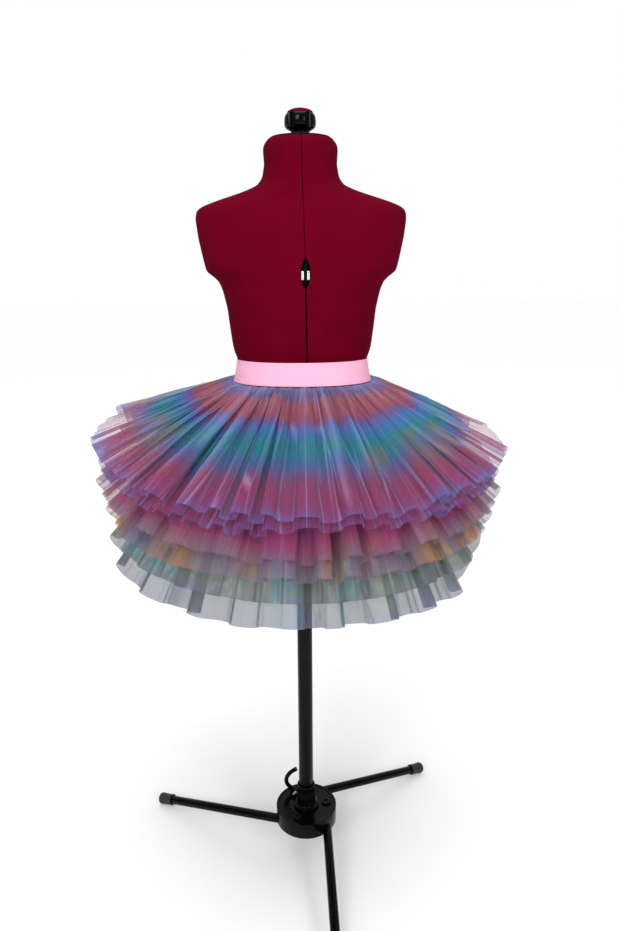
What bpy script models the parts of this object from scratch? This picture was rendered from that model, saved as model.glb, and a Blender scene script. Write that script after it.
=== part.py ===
"""A three-tier tulle skirt on a limbless dress form with a three-legged stand.

Metres, +Z up, the front faces -Y. The origin is on the floor, on the pole's axis.
"""

import math
import random
from collections import namedtuple

import bmesh
import bpy
from mathutils import Matrix, Vector

# Pieces that touch keep this gap.
GAP = 0.0003
# How far a cutter runs past the surface that it opens.
OVERRUN = 0.0100
ROUND_STEPS = 20
LEG_STEPS = 16
SCREW_STEPS = 10

# The form's outline, a row for each level: half width, half depth and how square the section is.
Section = namedtuple("Section", "z half_width half_depth squareness")
FORM = (
    Section(0.5980, 0.1040, 0.0835, 2.3),
    Section(0.6030, 0.1110, 0.0905, 2.3),
    Section(0.6500, 0.1180, 0.0965, 2.3),
    Section(0.7000, 0.1210, 0.0990, 2.3),
    Section(0.7500, 0.1195, 0.0975, 2.3),
    Section(0.8000, 0.1135, 0.0910, 2.3),
    Section(0.8400, 0.1070, 0.0840, 2.25),
    Section(0.8627, 0.1030, 0.0794, 2.2),
    Section(0.8953, 0.0972, 0.0753, 2.2),
    Section(0.8975, 0.0990, 0.0770, 2.2),
    Section(0.9050, 0.1022, 0.0795, 2.2),
    Section(0.9150, 0.1046, 0.0812, 2.2),
    Section(0.9400, 0.1078, 0.0840, 2.2),
    Section(0.9700, 0.1110, 0.0865, 2.25),
    Section(0.9950, 0.1165, 0.0882, 2.3),
    Section(1.0080, 0.1215, 0.0886, 2.3),
    Section(1.0155, 0.1290, 0.0886, 2.3),
    Section(1.0220, 0.1395, 0.0884, 2.35),
    Section(1.0400, 0.1438, 0.0870, 2.35),
    Section(1.0700, 0.1500, 0.0815, 2.3),
    Section(1.0950, 0.1532, 0.0740, 2.25),
    Section(1.1070, 0.1520, 0.0690, 2.2),
    Section(1.1130, 0.1450, 0.0650, 2.15),
    Section(1.1205, 0.1240, 0.0605, 2.1),
    Section(1.1320, 0.0860, 0.0555, 2.05),
    Section(1.1410, 0.0630, 0.0525, 2.0),
    Section(1.1520, 0.0553, 0.0505, 2.0),
    Section(1.1700, 0.0521, 0.0484, 2.0),
    Section(1.1890, 0.0535, 0.0480, 2.0),
    Section(1.1975, 0.0520, 0.0464, 2.0),
    Section(1.2030, 0.0446, 0.0400, 2.0),
)
FORM_COLUMNS = 36

# The rod slides in the pole and turns in the form.
ROD_RADIUS = 0.0100
ROD_FOOT = 0.2800
ROD_TOP = 0.7000

# The adjusting wheel's slot, on the seam down the form's front.
SEAM_X = 0.0065
SLOT_CENTRE_Z = 1.0188
SLOT_HALF_HEIGHT = 0.0224
SLOT_HALF_WIDTH = 0.0070
SLOT_DEPTH = 0.0380
SLOT_STEPS = 10
WHEEL_RADIUS = 0.0155
WHEEL_HALF_THICKNESS = 0.0020
WHEEL_SINK = 0.0010
SCALE_CENTRE_Z = 1.0163
SCALE_HEIGHT = 0.0118
SCALE_WIDTH = 0.0034
SCALE_DEPTH = 0.0070
SCALE_SINK = 0.0012

# The cap on the neck: height above its foot, half width and half depth.
CAP_PROFILE = (
    (0.0000, 0.0436, 0.0390),
    (0.0012, 0.0436, 0.0390),
    (0.0022, 0.0420, 0.0374),
)
# The knob's outline from its top down to its stem: radius and level.
KNOB_TOP = 1.2364
KNOB_PROFILE = (
    (0.0190, KNOB_TOP),
    (0.0210, 1.2345),
    (0.0225, 1.2295),
    (0.0225, 1.2225),
    (0.0206, 1.2178),
    (0.0150, 1.2150),
    (0.0130, 1.2120),
)
# The button's outline: radius and height above the knob.
BUTTON_PROFILE = (
    (0.0000, 0.0072),
    (0.0068, 0.0067),
    (0.0128, 0.0052),
    (0.0168, 0.0031),
    (0.0185, 0.0012),
    (0.0180, GAP),
    (0.0000, GAP),
)

# The waistband.
BAND_TOP = 0.8958
BAND_HEIGHT = 0.0331
BAND_THICKNESS = 0.0018

# The flounces. Each is one gathered strip; the two layers of a tier share their folds.
# Slopes are in degrees below the horizontal; cut is the depth of the strip.
Flounce = namedtuple("Flounce", "name folds fold_depth cut front left right back root_drop tier")
FLOUNCES = (
    Flounce("top_flounce_over", 44, 0.0110, 0.228, 38, 17, 26, 18, 0.0014, 1),
    Flounce("top_flounce_under", 44, 0.0112, 0.233, 42, 27, 33, 24, 0.0042, 1),
    Flounce("middle_flounce_over", 34, 0.0118, 0.250, 49, 35, 40, 30, 0.0120, 2),
    Flounce("middle_flounce_under", 34, 0.0126, 0.267, 54, 44, 46, 39, 0.0150, 2),
    Flounce("bottom_flounce_over", 22, 0.0130, 0.282, 62, 50, 54, 48, 0.0240, 3),
    Flounce("bottom_flounce_under", 22, 0.0144, 0.312, 68, 53, 58, 55, 0.0275, 3),
)
CLOTH = 0.0011
# How quickly the slope turns from the side's to the front's or the back's.
SLOPE_TURN = 1.2
# Rows down a strip: its share of the cut, how far the cloth puffs out there, and the gathers' depth.
Row = namedtuple("Row", "share puff gather")
STRIP_ROWS = (
    Row(0.00, 0.0000, 0.0000),
    Row(0.08, 0.0040, 0.0012),
    Row(1.00, 0.0000, 0.0000),
)
# Gathers are uneven: the ranges of a fold's relative width, crest and trough.
FOLD_WIDTHS = (0.65, 1.35)
CRESTS = (0.65, 1.25)
TROUGHS = (-1.20, -0.65)
# The two flanks of a fold: share of its width and height. A fold leans either way by up to LEAN.
RISING_FLANK = (0.27, 0.1)
FALLING_FLANK = (0.75, -0.1)
LEAN = 0.06

# The stand.
POLE_RADIUS = 0.0127
POLE_TOP = 0.5655
COLLAR_RADIUS = 0.0170
COLLAR_FOOT = 0.5390
COLLAR_TOP = 0.5660
COLLAR_EDGE = 0.0015
HUB_RADIUS = 0.0541
HUB_FOOT = 0.0570
HUB_TOP = 0.0861
HUB_EDGE = 0.0025
SLEEVE_RADIUS = 0.0150
SLEEVE_TOP = 0.1310
SLEEVE_EDGE = 0.0010
FLANGE_RADIUS = 0.0225
FLANGE_HEIGHT = 0.0045
FLANGE_FILLET = 0.0020
LEG_RADIUS = 0.0078
LEG_OFFSET = 0.0353
LEG_REACH = 0.3057
LEG_RIM_REACH = 0.0541
LEG_RIM_Z = 0.0640
LEG_END_Z = 0.0095
LEG_INNER_REACH = 0.0160
FIRST_LEG_ANGLE = math.radians(152.7)
# A rubber tip, measured along its leg from the end of the leg's axis.
TIP_RADIUS = 0.0105
TIP_LENGTH = 0.0260
TIP_FLOOR = 0.0060
TIP_NECK_RADIUS = 0.0097
TIP_NOSE = (
    (TIP_RADIUS, 0.0030),
    (TIP_RADIUS, -0.0010),
    (0.0075, -0.0040),
    (0.0000, -0.0052),
)
BOSS_RING = 0.0360
BOSS_ANGLES = {"hub_boss_right": 7.0, "hub_boss_back": 127.0, "hub_boss_front": 247.0}
BOSS_RADIUS = 0.0075
BOSS_HEIGHT = 0.0030
HOOK_RADIUS = 0.0027
HOOK_Y = 0.0305
# The hook's route above its boss: x, and the height over the hub.
HOOK_ROUTE = (
    (-0.0245, 0.0036),
    (-0.0245, 0.0070),
    (-0.0275, 0.0105),
    (-0.0335, 0.0155),
    (-0.0372, 0.0235),
    (-0.0368, 0.0320),
    (-0.0325, 0.0400),
    (-0.0255, 0.0470),
    (-0.0178, 0.0515),
)
SCREW_RADIUS = 0.0022
SCREW_SHIFT = (0.0024, -0.0042)


def clear_scene():
    for obj in list(bpy.data.objects):
        bpy.data.objects.remove(obj, do_unlink=True)


def new_collection(name):
    collection = bpy.data.collections.new(name)
    bpy.context.scene.collection.children.link(collection)
    return collection


def make_material(name, colour, roughness, metallic=0.0):
    material = bpy.data.materials.new(name)
    material.use_nodes = True
    shader = material.node_tree.nodes["Principled BSDF"]
    shader.inputs["Base Color"].default_value = (*colour, 1.0)
    shader.inputs["Roughness"].default_value = roughness
    shader.inputs["Metallic"].default_value = metallic
    material.diffuse_color = (*colour, 1.0)
    return material


clear_scene()
PART = new_collection("tulle_skirt_on_form")
CUTTERS = new_collection("cutters")
MAROON = make_material("form_fabric", (0.16, 0.004, 0.018), 0.85)
PINK = make_material("pink_elastic", (0.86, 0.47, 0.60), 0.7)
TOP_TULLE = make_material("top_tulle", (0.18, 0.24, 0.42), 0.6)
MIDDLE_TULLE = make_material("middle_tulle", (0.45, 0.12, 0.24), 0.6)
BOTTOM_TULLE = make_material("bottom_tulle", (0.20, 0.36, 0.38), 0.6)
GLOSS_BLACK = make_material("black_enamel", (0.006, 0.006, 0.006), 0.25)
BLACK_PLASTIC = make_material("black_plastic", (0.008, 0.008, 0.008), 0.3)
RUBBER = make_material("black_rubber", (0.012, 0.012, 0.012), 0.7)
WHITE = make_material("white_scale", (0.80, 0.79, 0.77), 0.5)
STEEL = make_material("bright_steel", (0.65, 0.65, 0.66), 0.3, 1.0)


def place(obj, material, collection=None):
    """Puts the object in its collection, with its material, shaded smooth but for sharp edges."""
    (collection or PART).objects.link(obj)
    obj.data.materials.append(material)
    if obj.type == "MESH":
        obj.data.shade_smooth()
        obj.data.set_sharp_from_angle(angle=math.radians(40))
    return obj


def mesh_object(name, points, faces, material, collection=None):
    mesh = bpy.data.meshes.new(name)
    mesh.from_pydata(points, [], faces)
    mesh.update()
    return place(bpy.data.objects.new(name, mesh), material, collection)


def object_from_bmesh(name, bm, material, collection=None):
    mesh = bpy.data.meshes.new(name)
    bm.to_mesh(mesh)
    bm.free()
    return place(bpy.data.objects.new(name, mesh), material, collection)


def make_cutter(name, bm):
    cutter = object_from_bmesh(name, bm, BLACK_PLASTIC, CUTTERS)
    cutter.hide_render = True
    cutter.display_type = "WIRE"
    return cutter


def cut(obj, cutter):
    modifier = obj.modifiers.new("cut " + cutter.name, "BOOLEAN")
    modifier.operation = "DIFFERENCE"
    modifier.object = cutter


def turned(name, profile, material, closed=False, steps=ROUND_STEPS):
    """A profile of (radius, height) points, run down its outer side, turned round the object's Z."""
    points = [(radius, 0.0, height) for radius, height in profile]
    edges = [(i, i + 1) for i in range(len(points) - 1)]
    if closed:
        edges.append((len(points) - 1, 0))
    mesh = bpy.data.meshes.new(name)
    mesh.from_pydata(points, edges, [])
    obj = bpy.data.objects.new(name, mesh)
    PART.objects.link(obj)
    mesh.materials.append(material)
    screw = obj.modifiers.new("turn", "SCREW")
    screw.steps = steps
    screw.render_steps = steps
    screw.use_merge_vertices = True
    screw.merge_threshold = 0.00001
    screw.use_smooth_shade = True
    return obj


def loft(name, rings, material):
    """A closed solid through rings of the same number of points, with flat ends."""
    count = len(rings[0])
    points = [point for ring in rings for point in ring]
    faces = []
    for row in range(len(rings) - 1):
        for i in range(count):
            j = (i + 1) % count
            low, high = row * count, (row + 1) * count
            faces.append((low + i, low + j, high + j, high + i))
    faces.append(tuple(reversed(range(count))))
    faces.append(tuple(range((len(rings) - 1) * count, len(rings) * count)))
    return mesh_object(name, points, faces, material)


def skin_rows(bm, rows):
    """Faces between closed rows of corners, given from the top down and facing outwards."""
    for high, low in zip(rows, rows[1:]):
        for i in range(len(high)):
            j = (i + 1) % len(high)
            bm.faces.new((low[i], low[j], high[j], high[i]))


def cylinder_between(start, end, radius, sides=LEG_STEPS):
    """A bmesh cylinder between two points."""
    axis = Vector(end) - Vector(start)
    turn = Vector((0, 0, 1)).rotation_difference(axis).to_matrix().to_4x4()
    bm = bmesh.new()
    bmesh.ops.create_cone(
        bm,
        cap_ends=True,
        segments=sides,
        radius1=radius,
        radius2=radius,
        depth=axis.length,
        matrix=Matrix.Translation((Vector(start) + Vector(end)) / 2) @ turn,
    )
    return bm


def form_size(z):
    """Half width, half depth and squareness of the form at a level."""
    for low, high in zip(FORM, FORM[1:]):
        if z <= high.z:
            share = max(0.0, (z - low.z) / (high.z - low.z))
            return [a + (b - a) * share for a, b in zip(low[1:], high[1:])]
    return list(FORM[-1][1:])


def outline_point(angle, half_width, half_depth, squareness):
    """A point of a superellipse in plan."""
    c, s = math.cos(angle), math.sin(angle)
    power = 2.0 / squareness
    return (
        half_width * math.copysign(abs(c) ** power, c),
        half_depth * math.copysign(abs(s) ** power, s),
    )


def form_ring(section, columns):
    ring = []
    for i in range(columns):
        x, y = outline_point(math.tau * i / columns, *section[1:])
        ring.append((x, y, section.z))
    return ring


def make_torso():
    torso = loft("form_torso", [form_ring(section, FORM_COLUMNS) for section in FORM], MAROON)
    bore_start = (0, 0, FORM[0].z - OVERRUN)
    bore_end = (0, 0, ROD_TOP + GAP)
    bore = make_cutter("rod_bore", cylinder_between(bore_start, bore_end, ROD_RADIUS + GAP, ROUND_STEPS))
    cut(torso, bore)
    cut(torso, make_cutter("dial_slot", slot_bmesh()))


def slot_half_width(height):
    """Half width of the slot, at a height above its centre."""
    return SLOT_HALF_WIDTH * (1.0 - (height / SLOT_HALF_HEIGHT) ** 2)


def slot_bmesh():
    """A lens seen from the front, cut back into the form."""
    heights = [SLOT_HALF_HEIGHT * (2.0 * i / SLOT_STEPS - 1.0) for i in range(SLOT_STEPS + 1)]
    right = [(SEAM_X + slot_half_width(h), SLOT_CENTRE_Z + h) for h in heights]
    left = [(SEAM_X - slot_half_width(h), SLOT_CENTRE_Z + h) for h in heights[1:-1]]
    outline = right + left[::-1]
    front = -form_size(SLOT_CENTRE_Z)[1]
    bm = bmesh.new()
    lens = bm.faces.new([bm.verts.new((x, front - OVERRUN, z)) for x, z in outline])
    grown = bmesh.ops.extrude_face_region(bm, geom=[lens])
    moved = [item for item in grown["geom"] if isinstance(item, bmesh.types.BMVert)]
    bmesh.ops.translate(bm, vec=(0, OVERRUN + SLOT_DEPTH, 0), verts=moved)
    bmesh.ops.recalc_face_normals(bm, faces=bm.faces)
    return bm


def make_dial():
    """The wheel on its sideways axis, and a number strip on each side of it."""
    front = -form_size(SLOT_CENTRE_Z)[1]
    centre_y = front + WHEEL_SINK + WHEEL_RADIUS
    bm = cylinder_between(
        (SEAM_X - WHEEL_HALF_THICKNESS, centre_y, SLOT_CENTRE_Z),
        (SEAM_X + WHEEL_HALF_THICKNESS, centre_y, SLOT_CENTRE_Z),
        WHEEL_RADIUS,
        ROUND_STEPS,
    )
    object_from_bmesh("dial_wheel", bm, BLACK_PLASTIC)
    strip_front = -form_size(SCALE_CENTRE_Z)[1] + SCALE_SINK
    offset = WHEEL_HALF_THICKNESS + GAP + SCALE_WIDTH / 2
    for name, side in (("dial_scale_left", -1), ("dial_scale_right", 1)):
        bm = bmesh.new()
        bmesh.ops.create_cube(bm, size=1.0)
        bmesh.ops.scale(bm, vec=(SCALE_WIDTH, SCALE_DEPTH, SCALE_HEIGHT), verts=bm.verts)
        place_at = (SEAM_X + side * offset, strip_front + SCALE_DEPTH / 2, SCALE_CENTRE_Z)
        bmesh.ops.translate(bm, vec=place_at, verts=bm.verts)
        object_from_bmesh(name, bm, WHITE)


def make_neck_pieces():
    """The cap on the neck, the knob that clamps it, and the cloth button on the knob."""
    cap_foot = FORM[-1].z + GAP
    ellipse = 2.0
    cap_rings = []
    for height, half_width, half_depth in CAP_PROFILE:
        section = Section(cap_foot + height, half_width, half_depth, ellipse)
        cap_rings.append(form_ring(section, FORM_COLUMNS))
    loft("neck_cap", cap_rings, BLACK_PLASTIC)
    foot = cap_foot + CAP_PROFILE[-1][0] + GAP
    stem_radius = KNOB_PROFILE[-1][0]
    knob = ((0.0, KNOB_TOP), *KNOB_PROFILE, (stem_radius, foot), (0.0, foot))
    turned("neck_knob", knob, BLACK_PLASTIC)
    button = [(radius, KNOB_TOP + height) for radius, height in BUTTON_PROFILE]
    turned("knob_button", button, MAROON)


def make_waistband():
    """A flat loop that lies on the form, a little wider at its foot."""
    bm = bmesh.new()
    rings = []
    for z in (BAND_TOP, BAND_TOP - BAND_HEIGHT):
        half_width, half_depth, squareness = form_size(z)
        section = Section(z, half_width + GAP, half_depth + GAP, squareness)
        rings.append([bm.verts.new(point) for point in form_ring(section, FORM_COLUMNS)])
    skin_rows(bm, rings)
    band = object_from_bmesh("waistband", bm, PINK)
    solidify = band.modifiers.new("thickness", "SOLIDIFY")
    solidify.thickness = BAND_THICKNESS
    solidify.offset = 1.0
    solidify.use_even_offset = True


def fold_columns(flounce):
    """Angles round the waist with the wave's height there: folds as uneven as gathers are."""
    rng = random.Random(flounce.tier)
    widths = [rng.uniform(*FOLD_WIDTHS) for _ in range(flounce.folds)]
    whole = sum(widths)
    columns = []
    start = rng.uniform(0.0, math.tau)
    for width in widths:
        span = math.tau * width / whole
        crest = rng.uniform(*CRESTS)
        trough = rng.uniform(*TROUGHS)
        lean = rng.uniform(-LEAN, LEAN)
        columns.append((start, trough))
        for share, height in (RISING_FLANK, (0.5, crest), FALLING_FLANK):
            columns.append((start + span * (share + lean), height))
        start += span
    return columns


def slope_at(flounce, angle):
    """How steeply the cloth falls at an angle round the waist, in radians."""
    c, s = math.cos(angle), math.sin(angle)
    side = flounce.left + (flounce.right - flounce.left) * (1.0 + c) / 2.0
    end = flounce.front if s < 0 else flounce.back
    return math.radians(side + (end - side) * abs(s) ** SLOPE_TURN)


def strip_point(flounce, row, angle, wave):
    """A point on the middle of the cloth."""
    root_z = BAND_TOP - BAND_HEIGHT - flounce.root_drop
    half_width, half_depth, squareness = form_size(root_z)
    reach = GAP + CLOTH
    x, y = outline_point(angle, half_width + reach, half_depth + reach, squareness)
    out = Vector((x * half_depth, y * half_width, 0.0)).normalized()
    out = (out + Vector((math.cos(angle), math.sin(angle), 0.0))).normalized()
    slope = slope_at(flounce, angle)
    down = out * math.cos(slope) - Vector((0, 0, math.sin(slope)))
    normal = out * math.sin(slope) + Vector((0, 0, math.cos(slope)))
    rise = row.puff + wave * (row.gather + flounce.fold_depth * row.share)
    return Vector((x, y, root_z)) + down * (flounce.cut * row.share) + normal * rise


def make_flounce(flounce, material):
    columns = fold_columns(flounce)
    bm = bmesh.new()
    rows = []
    for row in STRIP_ROWS:
        rows.append([bm.verts.new(strip_point(flounce, row, angle, wave)) for angle, wave in columns])
    skin_rows(bm, rows)
    strip = object_from_bmesh(flounce.name, bm, material)
    solidify = strip.modifiers.new("cloth", "SOLIDIFY")
    solidify.thickness = CLOTH
    solidify.offset = 0.0
    solidify.use_even_offset = True


def make_pole():
    inner = ROD_RADIUS + GAP
    foot = HUB_TOP + GAP
    turned(
        "pole",
        ((POLE_RADIUS, POLE_TOP), (POLE_RADIUS, foot), (inner, foot), (inner, POLE_TOP)),
        GLOSS_BLACK,
        closed=True,
    )
    inner = POLE_RADIUS + GAP
    collar = (
        (COLLAR_RADIUS - COLLAR_EDGE, COLLAR_TOP),
        (COLLAR_RADIUS, COLLAR_TOP - COLLAR_EDGE),
        (COLLAR_RADIUS, COLLAR_FOOT + COLLAR_EDGE),
        (COLLAR_RADIUS - COLLAR_EDGE, COLLAR_FOOT),
        (inner, COLLAR_FOOT),
        (inner, COLLAR_TOP),
    )
    turned("pole_collar", collar, BLACK_PLASTIC, closed=True)
    rod = ((0.0, ROD_TOP), (ROD_RADIUS, ROD_TOP), (ROD_RADIUS, ROD_FOOT), (0.0, ROD_FOOT))
    turned("form_rod", rod, STEEL)


def leg_frame(index):
    """A leg's direction in plan, and the sideways shift that makes the legs pass the pole."""
    angle = FIRST_LEG_ANGLE + index * math.tau / 3
    along = Vector((math.cos(angle), math.sin(angle), 0.0))
    shift = Vector((-along.y, along.x, 0.0)) * LEG_OFFSET
    return along, shift


def leg_point(index, reach):
    along, shift = leg_frame(index)
    fall = (LEG_RIM_Z - LEG_END_Z) / (LEG_REACH - LEG_RIM_REACH)
    point = shift + along * reach
    point.z = LEG_RIM_Z - (reach - LEG_RIM_REACH) * fall
    return point


def make_hub():
    """The round foot with its three sockets, its sleeve for the pole and its three bosses."""
    hub = turned(
        "hub",
        (
            (0.0, HUB_TOP),
            (HUB_RADIUS - 2 * HUB_EDGE, HUB_TOP),
            (HUB_RADIUS, HUB_TOP - HUB_EDGE),
            (HUB_RADIUS, HUB_FOOT + HUB_EDGE),
            (HUB_RADIUS - HUB_EDGE, HUB_FOOT),
            (0.0, HUB_FOOT),
        ),
        GLOSS_BLACK,
    )
    for index, side in enumerate(("left", "front", "right")):
        start = leg_point(index, LEG_INNER_REACH - GAP)
        end = leg_point(index, 2 * LEG_RIM_REACH)
        cut(hub, make_cutter("leg_socket_" + side, cylinder_between(start, end, LEG_RADIUS + GAP)))
    inner = POLE_RADIUS + GAP
    foot = HUB_TOP + GAP
    flange_top = foot + FLANGE_HEIGHT
    sleeve = (
        (SLEEVE_RADIUS - SLEEVE_EDGE, SLEEVE_TOP),
        (SLEEVE_RADIUS, SLEEVE_TOP - SLEEVE_EDGE),
        (SLEEVE_RADIUS, flange_top + FLANGE_FILLET),
        (SLEEVE_RADIUS + FLANGE_FILLET, flange_top),
        (FLANGE_RADIUS - SLEEVE_EDGE, flange_top),
        (FLANGE_RADIUS, flange_top - SLEEVE_EDGE),
        (FLANGE_RADIUS, foot),
        (inner, foot),
        (inner, SLEEVE_TOP),
    )
    turned("hub_sleeve", sleeve, GLOSS_BLACK, closed=True)
    for name, degrees in BOSS_ANGLES.items():
        angle = math.radians(degrees)
        centre = Vector((math.cos(angle), math.sin(angle), 0.0)) * BOSS_RING
        foot_at = centre + Vector((0, 0, HUB_TOP + GAP))
        top_at = foot_at + Vector((0, 0, BOSS_HEIGHT))
        object_from_bmesh(name, cylinder_between(foot_at, top_at, BOSS_RADIUS), GLOSS_BLACK)


def make_hook():
    """A bent rod that stands on the back boss and curls over towards the pole."""
    curve = bpy.data.curves.new("hub_hook", "CURVE")
    curve.dimensions = "3D"
    curve.bevel_depth = HOOK_RADIUS
    curve.bevel_resolution = 2
    curve.use_fill_caps = True
    spline = curve.splines.new("POLY")
    spline.points.add(len(HOOK_ROUTE) - 1)
    for point, (x, height) in zip(spline.points, HOOK_ROUTE):
        point.co = (x, HOOK_Y, HUB_TOP + height, 1.0)
    hook = bpy.data.objects.new("hub_hook", curve)
    PART.objects.link(hook)
    curve.materials.append(GLOSS_BLACK)
    angle = math.radians(BOSS_ANGLES["hub_boss_back"])
    x = math.cos(angle) * BOSS_RING + SCREW_SHIFT[0]
    y = math.sin(angle) * BOSS_RING + SCREW_SHIFT[1]
    foot = HUB_TOP + BOSS_HEIGHT + 2 * GAP
    screw = cylinder_between((x, y, foot), (x, y, foot + BOSS_HEIGHT), SCREW_RADIUS, SCREW_STEPS)
    object_from_bmesh("hub_screw", screw, STEEL)


def make_legs():
    """The three legs, each with a rubber tip that the floor cuts flat."""
    floor = bmesh.new()
    bmesh.ops.create_cube(floor, size=1.0)
    bmesh.ops.translate(floor, vec=(0, 0, -0.5), verts=floor.verts)
    floor_cutter = make_cutter("floor_level", floor)
    bore = LEG_RADIUS + GAP
    bore_floor = TIP_FLOOR - GAP
    cup = (
        (0.0, bore_floor),
        (bore, bore_floor),
        (bore, TIP_LENGTH),
        (TIP_NECK_RADIUS, TIP_LENGTH),
        (TIP_NECK_RADIUS, TIP_FLOOR),
        *TIP_NOSE,
    )
    for index, side in enumerate(("left", "front", "right")):
        end = leg_point(index, LEG_REACH)
        inner = leg_point(index, LEG_INNER_REACH)
        up_leg = (inner - end).normalized()
        outer = end + up_leg * TIP_FLOOR
        object_from_bmesh("leg_" + side, cylinder_between(inner, outer, LEG_RADIUS), GLOSS_BLACK)
        tip = turned("leg_tip_" + side, cup, RUBBER, steps=LEG_STEPS)
        tip.location = end
        tip.rotation_mode = "QUATERNION"
        tip.rotation_quaternion = Vector((0, 0, 1)).rotation_difference(up_leg)
        cut(tip, floor_cutter)


make_torso()
make_dial()
make_neck_pieces()
make_waistband()
TULLES = {1: TOP_TULLE, 2: MIDDLE_TULLE, 3: BOTTOM_TULLE}
for strip in FLOUNCES:
    make_flounce(strip, TULLES[strip.tier])
make_pole()
make_hub()
make_hook()
make_legs()
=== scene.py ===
# %% [markdown]
# A tulle skirt on a limbless dress form. The skirt is six straight strips of net, gathered on their
# upper edges and sewn in three tiers under a band of wide pink elastic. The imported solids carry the
# sizes and the joints. This lesson dresses them: each cell makes one piece or one finish.
# Metres, +Z up, and the front of the form faces -Y.

# %% Load the solids
import math
import random
from collections import namedtuple

import bpy
import numpy as np
from mathutils import Matrix, Vector


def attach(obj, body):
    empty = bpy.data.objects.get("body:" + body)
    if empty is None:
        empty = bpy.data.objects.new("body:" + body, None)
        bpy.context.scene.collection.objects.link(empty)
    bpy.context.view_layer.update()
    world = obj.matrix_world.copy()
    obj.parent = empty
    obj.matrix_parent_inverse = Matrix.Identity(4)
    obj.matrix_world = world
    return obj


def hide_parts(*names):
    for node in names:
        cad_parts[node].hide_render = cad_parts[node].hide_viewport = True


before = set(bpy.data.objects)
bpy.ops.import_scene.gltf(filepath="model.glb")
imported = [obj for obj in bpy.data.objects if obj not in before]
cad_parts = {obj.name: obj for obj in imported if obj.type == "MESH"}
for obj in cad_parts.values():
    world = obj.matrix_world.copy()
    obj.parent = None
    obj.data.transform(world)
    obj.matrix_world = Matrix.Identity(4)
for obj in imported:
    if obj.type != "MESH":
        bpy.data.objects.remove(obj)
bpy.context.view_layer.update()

# %% [markdown]
# The picture was taken a little above the waist, about a metre away, looking slightly down. A camera
# could be placed by eye, but the round waistband, the foot and the legs fix it: these values come from
# fitting those known shapes to their places in the picture. The small roll is the photographer's.

# %% The camera
PHOTO_HEIGHT = 931
FOCAL_PIXELS = 702.6
SENSOR = 36.0
CAMERA_AT = Vector((0.0116, -1.0824, 1.0099))
LOOK_DOWN = 0.2577
ROLL = -0.0064

camera = bpy.data.cameras.new("camera")
camera.sensor_width = SENSOR
camera.lens = FOCAL_PIXELS * SENSOR / PHOTO_HEIGHT
camera.clip_start = 0.05
viewer = bpy.data.objects.new("camera", camera)
bpy.context.scene.collection.objects.link(viewer)
tilt = Matrix.Rotation(math.pi / 2 - LOOK_DOWN, 4, "X") @ Matrix.Rotation(ROLL, 4, "Z")
viewer.matrix_world = Matrix.Translation(CAMERA_AT) @ tilt
bpy.context.scene.camera = viewer
print("lens", round(camera.lens, 2), "mm")

# %% [markdown]
# Materials and the room's light are node trees. A few small helpers keep them readable: one adds a node
# and feeds its inputs, and the others each do one step of arithmetic, noise, mixing or relief. One more
# starts a material and gives back its shader.

# %% Helpers for node trees
def feed(tree, node, feeds):
    """Sets a node's inputs, by name or number: to a value, or to an output of another node."""
    for key, value in feeds.items():
        if isinstance(value, bpy.types.NodeSocket):
            tree.links.new(value, node.inputs[key])
        else:
            node.inputs[key].default_value = value
    return node


def add(tree, kind, feeds=None, **settings):
    """A new node with its settings and its inputs."""
    node = tree.nodes.new("ShaderNode" + kind)
    for key, value in settings.items():
        setattr(node, key, value)
    return feed(tree, node, feeds or {})


def sums(tree, operation, first, second=0.0, third=0.0):
    """One step of arithmetic, as an output socket."""
    return add(tree, "Math", {0: first, 1: second, 2: third}, operation=operation).outputs[0]


def ramped(tree, value, low, high, first=0.0, last=1.0, **settings):
    """The value, carried from the range low to high over to the range first to last."""
    feeds = {"Value": value, "From Min": low, "From Max": high, "To Min": first, "To Max": last}
    return add(tree, "MapRange", feeds, **settings).outputs[0]


def noise(tree, place, scale, detail):
    return add(tree, "TexNoise", {"Vector": place, "Scale": scale, "Detail": detail}).outputs[0]


def mixed(tree, share, first, second):
    """Two colours, mixed by a share of 0 to 1."""
    return add(tree, "Mix", {0: share, 6: first, 7: second}, data_type="RGBA").outputs[2]


def bumped(tree, height, distance, strength):
    """The surface's normal, bent by a height."""
    return add(tree, "Bump", {"Height": height, "Distance": distance, "Strength": strength}).outputs[0]


def new_material(name, colour, roughness, metallic=0.0, specular=0.5):
    material = bpy.data.materials.new(name)
    material.use_nodes = True
    shader = material.node_tree.nodes["Principled BSDF"]
    shader.inputs["Base Color"].default_value = (*colour, 1.0)
    shader.inputs["Roughness"].default_value = roughness
    shader.inputs["Metallic"].default_value = metallic
    shader.inputs["Specular IOR Level"].default_value = specular
    material.diffuse_color = (*colour, 1.0)
    return material, material.node_tree, shader


def new_group(name, inputs, outputs):
    """An empty node group with float or vector inputs and float outputs."""
    group = bpy.data.node_groups.new(name, "ShaderNodeTree")
    for label, kind, value in inputs:
        socket = group.interface.new_socket(label, in_out="INPUT", socket_type=kind)
        if value is not None:
            socket.default_value = value
    for label in outputs:
        group.interface.new_socket(label, in_out="OUTPUT", socket_type="NodeSocketFloat")
    return group, group.nodes.new("NodeGroupInput"), group.nodes.new("NodeGroupOutput")


def linear(red, green, blue):
    """A screen colour of 0 to 255 as the shader's linear light."""
    return tuple((channel / 255.0) ** 2.2 for channel in (red, green, blue))


print("helpers ready")

# %% [markdown]
# Net is seen through many times: a ray in the middle of the skirt meets dozens of layers. The limit on
# transparent bounces is raised, or the deep layers would turn black. The light is a pale room, dimmer
# behind the camera and at the sides so that black enamel stays black, with two soft lamps in front and
# one above. The camera itself sees the room as plain white.

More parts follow.
